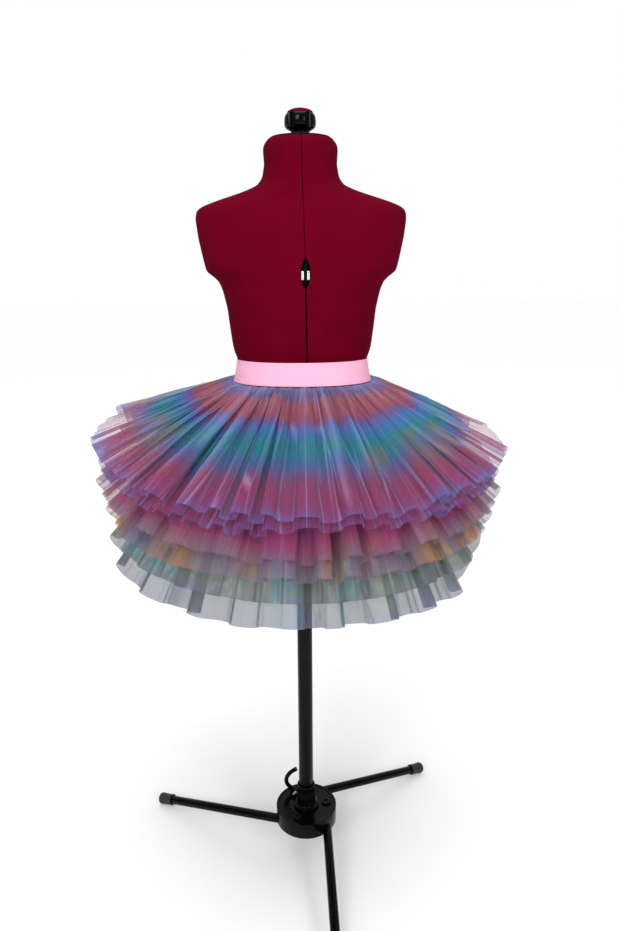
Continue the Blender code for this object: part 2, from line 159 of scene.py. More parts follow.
# %% Light and view
MOST_LAYERS_OF_NET = 96
ROOM_LIGHT = 1.0
ROOM_LIGHT_BEHIND_CAMERA = 0.50
ROOM_LIGHT_AT_SIDES = 0.30
PURE_WHITE = (1.0, 1.0, 1.0, 1.0)

bpy.context.scene.cycles.transparent_max_bounces = MOST_LAYERS_OF_NET
bpy.context.scene.view_settings.view_transform = "Standard"
world = bpy.data.worlds.new("pale room")
world.use_nodes = True
room = world.node_tree
looking = add(room, "SeparateXYZ", {0: add(room, "TexCoord").outputs["Generated"]}).outputs
soft = {"interpolation_type": "SMOOTHSTEP"}
behind = ramped(room, looking["Y"], -0.9, 0.3, ROOM_LIGHT_BEHIND_CAMERA, ROOM_LIGHT, **soft)
aside = sums(room, "ABSOLUTE", looking["X"])
sides = ramped(room, aside, 0.45, 0.85, 1.0, ROOM_LIGHT_AT_SIDES, **soft)
seen = add(room, "LightPath").outputs["Is Camera Ray"]
strength = sums(room, "MAXIMUM", sums(room, "MULTIPLY", behind, sides), seen)
feed(room, room.nodes["Background"], {"Color": PURE_WHITE, "Strength": strength})
bpy.context.scene.world = world


def soft_lamp(name, at, target, size, watts):
    lamp = bpy.data.lights.new(name, "AREA")
    lamp.size = size
    lamp.energy = watts
    holder = bpy.data.objects.new(name, lamp)
    bpy.context.scene.collection.objects.link(holder)
    holder.location = at
    holder.rotation_euler = (Vector(target) - Vector(at)).to_track_quat("-Z", "Y").to_euler()
    print("lamp", name, watts, "W")


soft_lamp("front lamp", (-0.9, -2.5, 2.3), (0, 0, 0.9), 1.2, 44)
soft_lamp("side lamp", (1.5, -2.0, 1.7), (0, 0, 0.9), 0.9, 18)
soft_lamp("top lamp", (0.0, -0.3, 3.2), (0, 0, 0.7), 1.8, 34)

# %% [markdown]
# Tulle is a net of six-sided holes about a millimetre across. An image could hold it, but three waves
# at 60 degrees to each other make the same pattern at any distance, and it follows the cloth's own
# coordinates. The group gives 1 on a thread and 0 in a hole.


# %% The net, as a group
NET_PITCH = 0.0012
NET_DIRECTIONS = (0, 60, 120)


def make_net():
    group, given, result = new_group(
        "six sided net",
        [("Vector", "NodeSocketVector", None), ("Pitch", "NodeSocketFloat", NET_PITCH)],
        ["Thread"],
    )
    scale = sums(group, "DIVIDE", math.tau, given.outputs["Pitch"])
    total = 0.0
    for degrees in NET_DIRECTIONS:
        angle = math.radians(degrees)
        thread = (math.cos(angle), math.sin(angle), 0.0)
        along = add(group, "VectorMath", {0: given.outputs["Vector"], 1: thread}, operation="DOT_PRODUCT")
        wave = sums(group, "COSINE", sums(group, "MULTIPLY", along.outputs["Value"], scale))
        total = sums(group, "ADD", total, wave)
    group.links.new(ramped(group, total, -0.6, 1.2, 1.0, 0.0), result.inputs["Thread"])
    return group


NET = make_net()
print("net pitch", NET_PITCH, "m")

# %% [markdown]
# Woven and knitted cloth share one relief: two crossed sets of ribs, made uneven by noise. The pitch
# of each set is an input, so the group serves the form's jersey and the ribbed elastic alike.


# %% Crossed ribs, as a group
def make_ribs():
    group, given, result = new_group(
        "crossed ribs",
        [
            ("Vector", "NodeSocketVector", None),
            ("Across", "NodeSocketFloat", 0.001),
            ("Down", "NodeSocketFloat", 0.001),
            ("Unevenness", "NodeSocketFloat", 0.3),
        ],
        ["Height", "Speckle"],
    )
    parts = add(group, "SeparateXYZ", {0: given.outputs["Vector"]})
    height = 0.0
    for axis, pitch in (("X", "Across"), ("Y", "Down")):
        turns = sums(group, "DIVIDE", parts.outputs[axis], given.outputs[pitch])
        height = sums(group, "ADD", height, sums(group, "SINE", sums(group, "MULTIPLY", turns, math.tau)))
    grain = noise(group, given.outputs["Vector"], 420.0, 3.0)
    rough = sums(group, "MULTIPLY", grain, given.outputs["Unevenness"])
    feeds = {
        "Height": sums(group, "MULTIPLY_ADD", height, 0.25, rough),
        "Speckle": noise(group, given.outputs["Vector"], 26.0, 4.0),
    }
    feed(group, result, feeds)
    return group


RIBS = make_ribs()
print("ribs ready")

# %% [markdown]
# Net that was folded and packed keeps thin creases down its length, which meet and part like long
# slivers. The borders of long narrow cells, laid in the strip's own coordinates, give such lines.


# %% Long creases, as a group
def make_creases():
    group, given, result = new_group(
        "long creases",
        [
            ("Vector", "NodeSocketVector", None),
            ("Width", "NodeSocketFloat", 0.03),
            ("Length", "NodeSocketFloat", 0.42),
        ],
        ["Line"],
    )
    parts = add(group, "SeparateXYZ", {0: given.outputs["Vector"]})
    across = sums(group, "DIVIDE", parts.outputs["X"], given.outputs["Width"])
    down = sums(group, "DIVIDE", parts.outputs["Y"], given.outputs["Length"])
    place = add(group, "CombineXYZ", {"X": across, "Y": down}).outputs[0]
    cells = add(group, "TexVoronoi", {"Vector": place, "Scale": 1.0}, feature="DISTANCE_TO_EDGE")
    line = ramped(group, cells.outputs["Distance"], 0.0, 0.035, 1.0, 0.0)
    strength = ramped(group, noise(group, place, 1.7, 1.0), 0.38, 0.58)
    group.links.new(sums(group, "MULTIPLY", line, strength), result.inputs["Line"])
    return group


CREASES = make_creases()
print("group ready:", CREASES.name)

# %% [markdown]
# Hard parts are never one even gloss. This group puts fine dust and rub marks on them: it gives a
# slow cloud for the gloss and a fine grain for the relief.


# %% Handling marks, as a group
def make_marks():
    group, given, result = new_group(
        "handling marks",
        [("Vector", "NodeSocketVector", None), ("Scale", "NodeSocketFloat", 30.0)],
        ["Cloud", "Grain"],
    )
    place, scale = given.outputs["Vector"], given.outputs["Scale"]
    fine = sums(group, "MULTIPLY", scale, 30.0)
    feed(group, result, {"Cloud": noise(group, place, scale, 5.0), "Grain": noise(group, place, fine, 2.0)})
    return group


MARKS = make_marks()
print("marks ready")

# %% [markdown]
# The net is dyed in bands that run along the strip, so that they lie level round the skirt. One layer
# is so sheer that it looks pale. Depth of colour comes from layers over layers, so each thread has the
# full colour and the shader's Alpha lets most of the light past. Along a fold's edge the net is seen
# nearly edge on and looks denser: the mesh carries that as an attribute named fold, which raises the
# Alpha there and also mixes in a painted edge colour, on the top tier a pale painted highlight line. A
# second attribute, patch, says where the dyer let a further colour run in.


# %% The dyed net
def rows_of(kind, rows):
    """A table's rows, each with its values named."""
    return tuple(kind(*row) for row in rows)


Band = namedtuple("Band", "share red green blue")
TOP_BANDS = rows_of(Band, (
    (0.00, 150, 156, 206),
    (0.07, 132, 110, 166),
    (0.13, 172, 86, 92),
    (0.25, 164, 76, 94),
    (0.31, 112, 88, 150),
    (0.36, 66, 114, 186),
    (0.43, 40, 126, 164),
    (0.49, 26, 130, 130),
    (0.56, 40, 120, 152),
    (0.63, 74, 96, 156),
    (0.70, 116, 74, 128),
    (0.78, 146, 58, 88),
    (0.87, 148, 58, 104),
    (0.95, 132, 68, 124),
    (1.00, 104, 96, 160),
))
MIDDLE_BANDS = rows_of(Band, (
    (0.00, 112, 124, 184),
    (0.10, 168, 92, 90),
    (0.24, 170, 86, 94),
    (0.34, 88, 98, 162),
    (0.48, 38, 128, 142),
    (0.60, 68, 106, 162),
    (0.68, 120, 80, 146),
    (0.77, 164, 62, 124),
    (0.86, 168, 70, 118),
    (0.92, 142, 96, 128),
    (1.00, 128, 116, 136),
))
BOTTOM_BANDS = rows_of(Band, (
    (0.00, 112, 124, 184),
    (0.16, 160, 88, 96),
    (0.36, 58, 118, 148),
    (0.50, 100, 92, 128),
    (0.60, 128, 94, 102),
    (0.68, 96, 112, 118),
    (0.76, 84, 124, 128),
    (0.84, 112, 126, 112),
    (0.93, 118, 126, 122),
    (1.00, 114, 112, 134),
))


def dyed(red, green, blue):
    return (*(DYE_STRENGTH * value for value in linear(red, green, blue)), 1.0)


def make_tulle(name, bands, sheer, edge, patch, crease_strength):
    """Net dyed in bands. sheer is one layer's alpha, edge the colour painted along fold edges and creases,
    pale as a painted highlight on the top tier.
    """
    material, tree, shader = new_material(name, linear(120, 120, 170), 0.55, specular=0.2)
    cloth = add(tree, "UVMap", uv_map="UVMap").outputs[0]
    dye, turned_edge, place = (
        add(tree, "Attribute", attribute_name=own).outputs["Fac"] for own in ("dye", "fold", "patch")
    )
    crease_size = {"Vector": cloth, "Width": CREASE_WIDTH, "Length": CREASE_LENGTH}
    crease = add(tree, "Group", crease_size, node_tree=CREASES).outputs["Line"]
    fold = sums(tree, "MAXIMUM", turned_edge, sums(tree, "MULTIPLY", crease, crease_strength))
    cloud = noise(tree, cloth, 6.0, 2.5)
    wander = sums(tree, "MULTIPLY", sums(tree, "SUBTRACT", cloud, 0.5), DYE_WANDER)
    ramp = add(tree, "ValToRGB", {0: sums(tree, "ADD", dye, wander)})
    stops = ramp.color_ramp.elements
    stops.remove(stops[1])
    stops[0].position = bands[0].share
    stops[0].color = dyed(*bands[0][1:])
    for band in bands[1:]:
        stops.new(band.share).color = dyed(*band[1:])
    ragged = ramped(tree, noise(tree, cloth, 14.0, 1.0), 0.34, 0.56)
    where = sums(tree, "MULTIPLY", sums(tree, "MULTIPLY", place, ragged), patch.strength)
    patched = mixed(tree, where, ramp.outputs[0], dyed(*patch[1:]))
    # Painted highlight: fold edges and creases take the edge colour, which on the top tier is a pale line
    # standing in for light.
    edge_tint_and_highlight = mixed(tree, sums(tree, "MULTIPLY", fold, edge.strength), patched, dyed(*edge[1:]))
    net = add(tree, "Group", {"Vector": cloth, "Pitch": NET_PITCH}, node_tree=NET).outputs["Thread"]
    thread = sums(tree, "MULTIPLY_ADD", net, 0.9, 0.55)
    dense = sums(tree, "MULTIPLY_ADD", fold, EDGE_DENSITY, sheer)
    alpha = add(tree, "Math", {0: dense, 1: thread}, operation="MULTIPLY", use_clamp=True).outputs[0]
    feed(tree, shader, {"Base Color": edge_tint_and_highlight, "Alpha": alpha, "Normal": bumped(tree, net, 0.0002, 0.3)})
    shader.inputs["Sheen Weight"].default_value = 0.1
    return material


DYE_WANDER = 0.20
DYE_STRENGTH = 0.80
EDGE_DENSITY = 0.42
CREASE_WIDTH = 0.030
CREASE_LENGTH = 0.42
Tint = namedtuple("Tint", "strength red green blue")
OLIVE = Tint(0.70, 132, 104, 56)
GOLD = Tint(0.72, 192, 138, 70)
TEAL = Tint(0.80, 72, 142, 158)
# The second value of each tier is the colour painted on its fold edges, a pale painted highlight on the top
# tier; the third is the dyer's further colour.
TULLES = {
    "top_tulle": make_tulle("top_tulle", TOP_BANDS, 0.43, Tint(0.50, 156, 166, 214), OLIVE, 0.75),
    "middle_tulle": make_tulle("middle_tulle", MIDDLE_BANDS, 0.46, Tint(0.40, 128, 108, 164), GOLD, 0.55),
    "bottom_tulle": make_tulle("bottom_tulle", BOTTOM_BANDS, 0.62, Tint(0.70, 62, 108, 132), TEAL, 0.50),
}
print("tulles:", sorted(TULLES))

# %% [markdown]
# The form wears maroon jersey, fine and matt. Its ribs run down the body. The elastic is a smooth
# ribbed band. Both read the piece's own UV map, which is laid out in metres.


# %% Jersey and elastic
def make_cloth(name, colour, pale, across, down, relief, roughness):
    """Ribbed cloth that is plain in one colour and paler in the other. across and down are its pitches."""
    material, tree, shader = new_material(name, colour, roughness, specular=0.02)
    cloth = add(tree, "UVMap", uv_map="UVMap").outputs[0]
    pitches = {"Vector": cloth, "Across": across, "Down": down, "Unevenness": 0.7}
    ribs = add(tree, "Group", pitches, node_tree=RIBS).outputs
    tone = mixed(tree, ribs["Speckle"], (*colour, 1.0), (*pale, 1.0))
    feed(tree, shader, {"Base Color": tone, "Normal": bumped(tree, ribs["Height"], relief, 0.6)})
    return material


MAROON = (0.089, 0.0002, 0.0068)
PALE_MAROON = (0.126, 0.0005, 0.011)
PINK = (0.82, 0.40, 0.565)
PALE_PINK = (0.88, 0.46, 0.625)
JERSEY = make_cloth("form_fabric", MAROON, PALE_MAROON, 0.0011, 0.0014, 0.0002, 0.95)
ELASTIC = make_cloth("pink_elastic", PINK, PALE_PINK, 0.0007, 0.0011, 0.00012, 0.8)
print("cloths ready")

# %% [markdown]
# Enamel, moulded plastic, rubber, the dial's white and the bright steel are one recipe with its own
# values each: a base, a cloud of handling marks in the gloss, and a fine grain in the relief.


# %% Hard finishes
def make_hard(name, colour, worn, roughness, relief, metallic=0.0, specular=0.5, scale=30.0):
    material, tree, shader = new_material(name, colour, roughness, metallic, specular)
    place = add(tree, "TexCoord").outputs["Object"]
    marks = add(tree, "Group", {"Vector": place, "Scale": scale}, node_tree=MARKS).outputs
    rub = ramped(tree, marks["Cloud"], 0.45, 0.75)
    looks = {
        "Base Color": mixed(tree, rub, (*colour, 1.0), (*worn, 1.0)),
        "Roughness": sums(tree, "MULTIPLY_ADD", rub, 0.18, roughness),
        "Normal": bumped(tree, marks["Grain"], relief, 0.5),
    }
    feed(tree, shader, looks)
    return material


def grey(level):
    return (level, level, level)


ENAMEL = make_hard("black_enamel", grey(0.0012), (0.003, 0.003, 0.0026), 0.16, 0.00004, specular=0.10)
PLASTIC = make_hard("black_plastic", grey(0.0010), grey(0.002), 0.12, 0.00005, specular=0.09)
RUBBER = make_hard("black_rubber", grey(0.010), (0.020, 0.020, 0.019), 0.62, 0.00020, scale=60.0)
WHITE = make_hard("white_scale", (0.80, 0.79, 0.77), (0.70, 0.69, 0.66), 0.40, 0.00004)
STEEL = make_hard("bright_steel", (0.62, 0.62, 0.63), (0.48, 0.48, 0.49), 0.28, 0.00005, metallic=1.0)
INK = make_hard("scale_ink", (0.010, 0.010, 0.012), (0.030, 0.030, 0.032), 0.50, 0.00002)
print("hard finishes ready")

# %% [markdown]
# Modelling by script is modelling by hand with the hand written down: deselect everything, add a
# primitive, go into edit mode, select by place, and call the same operators that the keys would.


# %% Helpers for modelling
def deselect_everything():
    if bpy.context.object and bpy.context.object.mode != "OBJECT":
        bpy.ops.object.mode_set(mode="OBJECT")
    bpy.ops.object.select_all(action="DESELECT")


def pick(piece):
    """Makes this piece the only selected one, and the active one."""
    deselect_everything()
    piece.select_set(True)
    bpy.context.view_layer.objects.active = piece


def edit(piece):
    pick(piece)
    bpy.ops.object.mode_set(mode="EDIT")


def edit_all(piece):
    edit(piece)
    bpy.ops.mesh.select_all(action="SELECT")


def leave_edit():
    bpy.ops.object.mode_set(mode="OBJECT")


def edit_faces(piece, wanted):
    """Into edit mode with only those faces selected that wanted() is true for."""
    edit(piece)
    bpy.ops.mesh.select_all(action="DESELECT")
    leave_edit()
    for polygon in piece.data.polygons:
        polygon.select = wanted(polygon)
    edit(piece)


def named(name):
    piece = bpy.context.object
    piece.name = name
    piece.data.name = name
    return piece


def settle(piece):
    """Puts the piece's place, turn and size into its mesh."""
    pick(piece)
    bpy.ops.object.transform_apply(location=True, rotation=True, scale=True)


def apply_modifiers(piece):
    pick(piece)
    for modifier in list(piece.modifiers):
        bpy.ops.object.modifier_apply(modifier=modifier.name)


def smooth(piece, degrees=40):
    pick(piece)
    bpy.ops.object.shade_smooth_by_angle(angle=math.radians(degrees))


def bevel(piece, width, segments=3, degrees=35, smoothing=40):
    """Rounds the edges sharper than degrees, and then shades all but the sharp edges smooth."""
    modifier = piece.modifiers.new("edges", "BEVEL")
    modifier.width = width
    modifier.segments = segments
    modifier.limit_method = "ANGLE"
    modifier.angle_limit = math.radians(degrees)
    apply_modifiers(piece)
    if smoothing:
        smooth(piece, smoothing)


def thicken(piece, thickness):
    """Gives a skin a wall that grows inwards."""
    modifier = piece.modifiers.new("wall", "SOLIDIFY")
    modifier.thickness = thickness
    modifier.offset = -1.0
    apply_modifiers(piece)


def copied(piece, name):
    """A copy with its own mesh."""
    copy = piece.copy()
    copy.data = piece.data.copy()
    copy.name = copy.data.name = name
    bpy.context.scene.collection.objects.link(copy)
    return copy


def finish_piece(piece, material, body, *nodes, slot=None):
    """The piece gets its finish, rides on its body and stands for its solids.

    slot is not used."""
    piece.data.materials.clear()
    piece.data.materials.append(material)
    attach(piece, body)
    if nodes:
        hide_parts(*nodes)
    print(piece.name, len(piece.data.polygons), "faces")


def turned(name, profile, segments=64, tube=False):
    """A round piece: a ring, then one extrusion and one scaling for each further (radius, height).

    A tube's profile comes back to its first point, and the last ring is merged with the first."""
    radius, height = profile[0]
    deselect_everything()
    ring = {"vertices": segments, "radius": radius, "fill_type": "NOTHING" if tube else "NGON"}
    bpy.ops.mesh.primitive_circle_add(location=(0, 0, height), **ring)
    piece = named(name)
    settle(piece)
    edit_all(piece)
    for next_radius, next_height in profile[1:]:
        rise = {"value": (0, 0, next_height - height)}
        bpy.ops.mesh.extrude_region_move(TRANSFORM_OT_translate=rise)
        growth = next_radius / radius
        bpy.ops.transform.resize(value=(growth, growth, 1))
        radius, height = next_radius, next_height
    bpy.ops.mesh.select_all(action="SELECT")
    if tube:
        bpy.ops.mesh.remove_doubles(threshold=0.000005)
    bpy.ops.mesh.normals_make_consistent(inside=False)
    leave_edit()
    return piece


def rod(name, start, end, radius, segments=48):
    """A plain cylinder between two points."""
    start, end = Vector(start), Vector(end)
    turn = Vector((0, 0, 1)).rotation_difference(end - start).to_euler()
    deselect_everything()
    bpy.ops.mesh.primitive_cylinder_add(
        vertices=segments,
        radius=radius,
        depth=(end - start).length,
        location=(start + end) / 2,
        rotation=turn,
    )
    piece = named(name)
    settle(piece)
    return piece


def join_by(piece, other, operation):
    """Cuts, keeps or adds the other piece's shape, then deletes it."""
    modifier = piece.modifiers.new("shape", "BOOLEAN")
    modifier.operation = operation
    modifier.solver = "EXACT"
    modifier.object = other
    apply_modifiers(piece)
    bpy.data.objects.remove(other, do_unlink=True)


print("modelling helpers ready")

# %% [markdown]
# Cloth starts flat. A grid primitive is one strip of cloth with its UV map: its columns run along the
# strip and its rows down it. Code then moves each corner to where the sewn cloth hangs, and the two
# ends are merged into a loop.


# %% A strip of cloth, rolled into a loop
def strip_grid(name, columns, rows):
    """A flat grid, and for each of its corners the column and the row, counted from the upper edge."""
    deselect_everything()
    bpy.ops.mesh.primitive_grid_add(x_subdivisions=columns, y_subdivisions=rows, size=1.0)
    piece = named(name)
    flat = np.empty(len(piece.data.vertices) * 3)
    piece.data.vertices.foreach_get("co", flat)
    flat = flat.reshape(-1, 3)
    column = np.rint((flat[:, 0] + 0.5) * columns).astype(int)
    row = np.rint((0.5 - flat[:, 1]) * rows).astype(int)
    return piece, column, row


def lay_points(piece, points, across, down):
    """Moves the corners to their points. across and down are each corner's place on the flat cloth."""
    piece.data.vertices.foreach_set("co", np.ascontiguousarray(points, dtype=np.float32).ravel())
    layer = piece.data.uv_layers.active
    layer.name = "UVMap"
    corner = np.empty(len(piece.data.loops), dtype=np.int32)
    piece.data.loops.foreach_get("vertex_index", corner)
    uv = np.stack((across[corner], down[corner]), axis=1)
    layer.data.foreach_set("uv", uv.ravel())
    piece.data.update()


def close_loop(piece, outward):
    """Merges the strip's two ends and turns its faces outwards. outward is a point well outside it."""
    edit_all(piece)
    bpy.ops.mesh.remove_doubles(threshold=0.00001)
    leave_edit()
    face = min(piece.data.polygons, key=lambda polygon: (polygon.center - outward).length)
    if face.normal.dot(outward - face.center) < 0:
        piece.data.flip_normals()


def attribute(piece, name, values):
    made = piece.data.attributes.new(name, "FLOAT", "POINT")
    made.data.foreach_set("value", np.ascontiguousarray(values, dtype=np.float32))


print("cloth helpers ready")

# %% [markdown]
# The form's body is measured in level sections, each a half width, a half depth and how square it is.
# Cloth and waistband lie on the same sections, so this table drives them all.

# %% The form's sections
Section = namedtuple("Section", "z half_width half_depth squareness")
FORM = rows_of(Section, (
    (0.5980, 0.1040, 0.0835, 2.3),
    (0.6030, 0.1110, 0.0905, 2.3),
    (0.6500, 0.1180, 0.0965, 2.3),
    (0.7000, 0.1210, 0.0990, 2.3),
    (0.7500, 0.1195, 0.0975, 2.3),
    (0.8000, 0.1135, 0.0910, 2.3),
    (0.8400, 0.1070, 0.0840, 2.25),
    (0.8627, 0.1030, 0.0794, 2.2),
    (0.8953, 0.0972, 0.0753, 2.2),
    (0.8975, 0.0990, 0.0770, 2.2),
    (0.9050, 0.1022, 0.0795, 2.2),
    (0.9150, 0.1046, 0.0812, 2.2),
    (0.9400, 0.1078, 0.0840, 2.2),
    (0.9700, 0.1110, 0.0865, 2.25),
    (0.9950, 0.1165, 0.0882, 2.3),
    (1.0080, 0.1215, 0.0886, 2.3),
    (1.0155, 0.1290, 0.0886, 2.3),
    (1.0220, 0.1395, 0.0884, 2.35),
    (1.0400, 0.1438, 0.0870, 2.35),
    (1.0700, 0.1500, 0.0815, 2.3),
    (1.0950, 0.1532, 0.0740, 2.25),
    (1.1070, 0.1520, 0.0690, 2.2),
    (1.1130, 0.1450, 0.0650, 2.15),
    (1.1205, 0.1240, 0.0605, 2.1),
    (1.1320, 0.0860, 0.0555, 2.05),
    (1.1410, 0.0630, 0.0525, 2.0),
    (1.1520, 0.0553, 0.0505, 2.0),
    (1.1700, 0.0521, 0.0484, 2.0),
    (1.1890, 0.0535, 0.0480, 2.0),
    (1.1975, 0.0520, 0.0464, 2.0),
    (1.2030, 0.0446, 0.0400, 2.0),
))
LEVELS = np.array([section.z for section in FORM])
FINE_LEVELS = np.arange(FORM[0].z - 0.03, FORM[-1].z + 0.03, 0.001)
ROUNDING = 0.0028
nearness = np.exp(-((np.arange(-12, 13) * 0.001 / ROUNDING) ** 2) / 2.0)
FINE = [
    np.convolve(np.interp(FINE_LEVELS, LEVELS, sizes), nearness / nearness.sum(), mode="same")
    for sizes in zip(*(section[1:] for section in FORM))
]


def form_size(z):
    """Half width, half depth and squareness at a level or an array of levels, with soft corners."""
    return [np.interp(z, FINE_LEVELS, sizes) for sizes in FINE]


def outline(angle, half_width, half_depth, squareness):
    """Points of a rounded oblong in plan."""
    c, s = np.cos(angle), np.sin(angle)
    power = 2.0 / squareness
    return half_width * np.sign(c) * np.abs(c) ** power, half_depth * np.sign(s) * np.abs(s) ** power


print("form from", LEVELS[0], "to", LEVELS[-1])

# %% [markdown]
# Each flounce is one straight strip, gathered at the waist. The table gives its folds, how deep they
# stand at the hem, how far the strip is cut, and its fall below the horizontal at the front, the two
# sides and the back. The two layers of a tier hang together, so they share the seed of their folds.

# %% The strips' table
COLUMNS = "name folds depth cut front left right back drop tier columns gathers"
Flounce = namedtuple("Flounce", COLUMNS)
FLOUNCES = rows_of(Flounce, (
    ("top_flounce_over", 44, 0.0110, 0.228, 38, 17, 26, 18, 0.0014, 1, 28, 4),
    ("top_flounce_under", 44, 0.0112, 0.233, 42, 27, 33, 24, 0.0042, 1, 28, 4),
    ("middle_flounce_over", 34, 0.0118, 0.250, 49, 35, 40, 30, 0.0120, 2, 30, 5),
    ("middle_flounce_under", 34, 0.0126, 0.267, 54, 44, 46, 39, 0.0150, 2, 30, 5),
    ("bottom_flounce_over", 22, 0.0130, 0.282, 62, 50, 54, 48, 0.0240, 3, 48, 8),
    ("bottom_flounce_under", 22, 0.0144, 0.312, 68, 53, 58, 55, 0.0275, 3, 48, 8),
))
# How far the dye of each strip is shifted from its tier's bands.
LAYER_DYE = {
    "top_flounce_over": 0.0,
    "top_flounce_under": -0.03,
    "middle_flounce_over": -0.03,
    "middle_flounce_under": 0.03,
    "bottom_flounce_over": -0.04,
    "bottom_flounce_under": 0.02,
}
# How much of its tier's further colour each strip takes.
LAYER_PATCH = {"middle_flounce_over": 0.30, "bottom_flounce_under": 0.60}
TIER_SLOTS = {1: "top_tulle", 2: "middle_tulle", 3: "bottom_tulle"}
BAND_TOP = 0.8958
BAND_HEIGHT = 0.0331
SEAM_GAP = 0.0014
STRIP_ROWS = 36
FOLD_WIDTHS = (0.65, 1.35)
CRESTS = (0.65, 1.25)
TROUGHS = (-1.20, -0.65)
LEAN = 0.06
SLOPE_TURN = 1.2
HEM_UNEVENNESS = {1: 0.6, 2: 0.8, 3: 1.7}
Fold = namedtuple("Fold", "start span crest trough lean")


def folds_of(flounce):
    """The solid's own folds, drawn in the same order."""
    rng = random.Random(flounce.tier)
    widths = [rng.uniform(*FOLD_WIDTHS) for _ in range(flounce.folds)]
    whole = sum(widths)
    start = rng.uniform(0.0, math.tau)
    folds = []
    for width in widths:
        span = math.tau * width / whole
        crest = rng.uniform(*CRESTS)
        trough = rng.uniform(*TROUGHS)
        folds.append(Fold(start, span, crest, trough, rng.uniform(-LEAN, LEAN)))
        start += span
    return folds


print("folds in all:", sum(flounce.folds for flounce in FLOUNCES))

# %% [markdown]
# A soft wave would make the net look like corrugated card. Real tulle falls in flat panels whose edges
# turn back behind each other, so the strip is also pushed sideways: the panel on each crest widens and
# the flanks fold under, more so towards the waist, where the same cloth has less room. What is still
# left over goes into small gathers, and each row finds how deep they must be to hold its full length.
# Some folds are shallow, a few panels lie flat, and a few creases of its own cross each fold.


# %% The shape of a gathered strip
DEEPEST_GATHER = 0.0034
GATHERED_SHARE = 0.84
WAIST_RADIUS = 0.089
PUFF = 0.0040
WAVE_AT_WAIST = 0.0009
WAIST_WAVE_SHARE = 0.1
ROW_TRIALS = 12
MOST_TURN = 4.1
MOST_HEM_TURN = {1: 2.5, 2: 2.5, 3: 2.0}
SHALLOW_CHANCE = {1: 0.26, 2: 0.24, 3: 0.12}
SHALLOW_SHARES = (0.45, 0.9)
SHALLOW_CALM = 0.8
PANEL_CALM = 0.85
FOLD_BOOSTS = (0.7, 1.0, 1.2, 1.4, 1.7)
CREASE_COUNTS = (1, 2, 2, 3)
CREASE_SPANS = (0.035, 0.07)
CREASE_HEIGHT = 0.0030
CREASE_DENSITY = 0.55
GATHER_DENSITY = 0.8
DYE_SHIFT = 0.028
# Broad flat panels of each tier: the middle of each round the waist and its half span, in degrees.
PANELS = {
    1: ((179, 10), (2, 10), (62, 7), (121, 8)),
    2: ((172, 9), (8, 8), (75, 7), (133, 7)),
    3: ((186, 9), (352, 9), (50, 8), (112, 9)),
}
# Where the further colour of each tier lies: the middle and the half span round the waist in degrees,
# and from which share of the strip's width to which.
PATCHES = {
    1: (
        (208, 10, 0.52, 0.72),
        (322, 15, 0.50, 0.70),
        (296, 5, 0.56, 0.66),
        (38, 12, 0.52, 0.72),
        (98, 14, 0.54, 0.70),
        (146, 10, 0.50, 0.72),
    ),
    2: (
        (231, 9, 0.84, 1.0),
        (255, 3, 0.92, 1.0),
        (284, 9, 0.86, 1.0),
        (309, 7, 0.82, 1.0),
        (330, 7, 0.92, 1.0),
        (196, 9, 0.80, 1.0),
        (14, 8, 0.86, 1.0),
        (52, 10, 0.84, 1.0),
        (98, 12, 0.88, 1.0),
        (141, 9, 0.84, 1.0),
    ),
    3: (
        (206, 5, 0.55, 0.95),
        (220, 4, 0.60, 0.93),
        (265, 5, 0.62, 0.98),
        (284, 5, 0.58, 0.96),
        (303, 4, 0.62, 0.92),
        (317, 5, 0.60, 0.97),
        (335, 5, 0.55, 0.94),
        (24, 6, 0.58, 0.94),
        (71, 5, 0.60, 0.97),
        (96, 6, 0.58, 0.93),
        (138, 5, 0.60, 0.96),
        (160, 6, 0.58, 0.95),
    ),
}


def ease(value, low, high):
    share = np.clip((value - low) / (high - low), 0.0, 1.0)
    return share * share * (3.0 - 2.0 * share)


def between(shares, first, last, before, after, fade):
    """1 from first to last down the strip, rising round first and fading after last."""
    return ease(shares, first - before, first + after) * (1.0 - ease(shares, last, last + fade))


def degrees_away(angle, middle):
    return np.abs((np.degrees(angle) - middle + 180.0) % 360.0 - 180.0)


def flatness(tier, angle):
    """1 in the middle of a broad panel, 0 outside the panels."""
    near = []
    for middle, half_span in PANELS[tier]:
        near.append(1.0 - ease(degrees_away(angle, middle), 0.7 * half_span, 1.5 * half_span))
    return float(max(near))


def patch_shape(tier, angle, shares):
    """1 where a patch of the tier's further colour lies, fading to 0 round it."""
    found = np.zeros_like(angle)
    for middle, half_span, first, last in PATCHES[tier]:
        across = 1.0 - ease(degrees_away(angle, middle), 0.6 * half_span, 1.3 * half_span)
        down = between(shares, first, last, 0.06, 0.03, 0.06)[:, None]
        found = np.maximum(found, across * down)
    return found


def row_girths(flounce, shares):
    """How far round each row is, as a share of the hem."""
    slope = math.radians((flounce.front + flounce.back + flounce.left + flounce.right) / 4.0)
    reach = flounce.cut * math.cos(slope)
    return (WAIST_RADIUS + reach * shares) / (WAIST_RADIUS + reach)


def random_creases(rng, tau, shares):
    """A few soft creases down one fold: their height, and how dense the net looks on them."""
    height = np.zeros((len(shares), len(tau)))
    dense = np.zeros_like(height)
    for _ in range(rng.choice(CREASE_COUNTS)):
        middle = rng.uniform(0.05, 0.95)
        width = rng.uniform(*CREASE_SPANS)
        first = rng.uniform(0.0, 0.5)
        last = first + rng.uniform(0.25, 0.5)
        lasts = between(shares, first, last, 0.1, 0.08, 0.2)[:, None]
        ridge = np.exp(-(((tau - middle) / width) ** 2)) * lasts
        height += ridge * rng.uniform(-CREASE_HEIGHT, CREASE_HEIGHT)
        dense = np.maximum(dense, CREASE_DENSITY * ridge)
    return height, dense


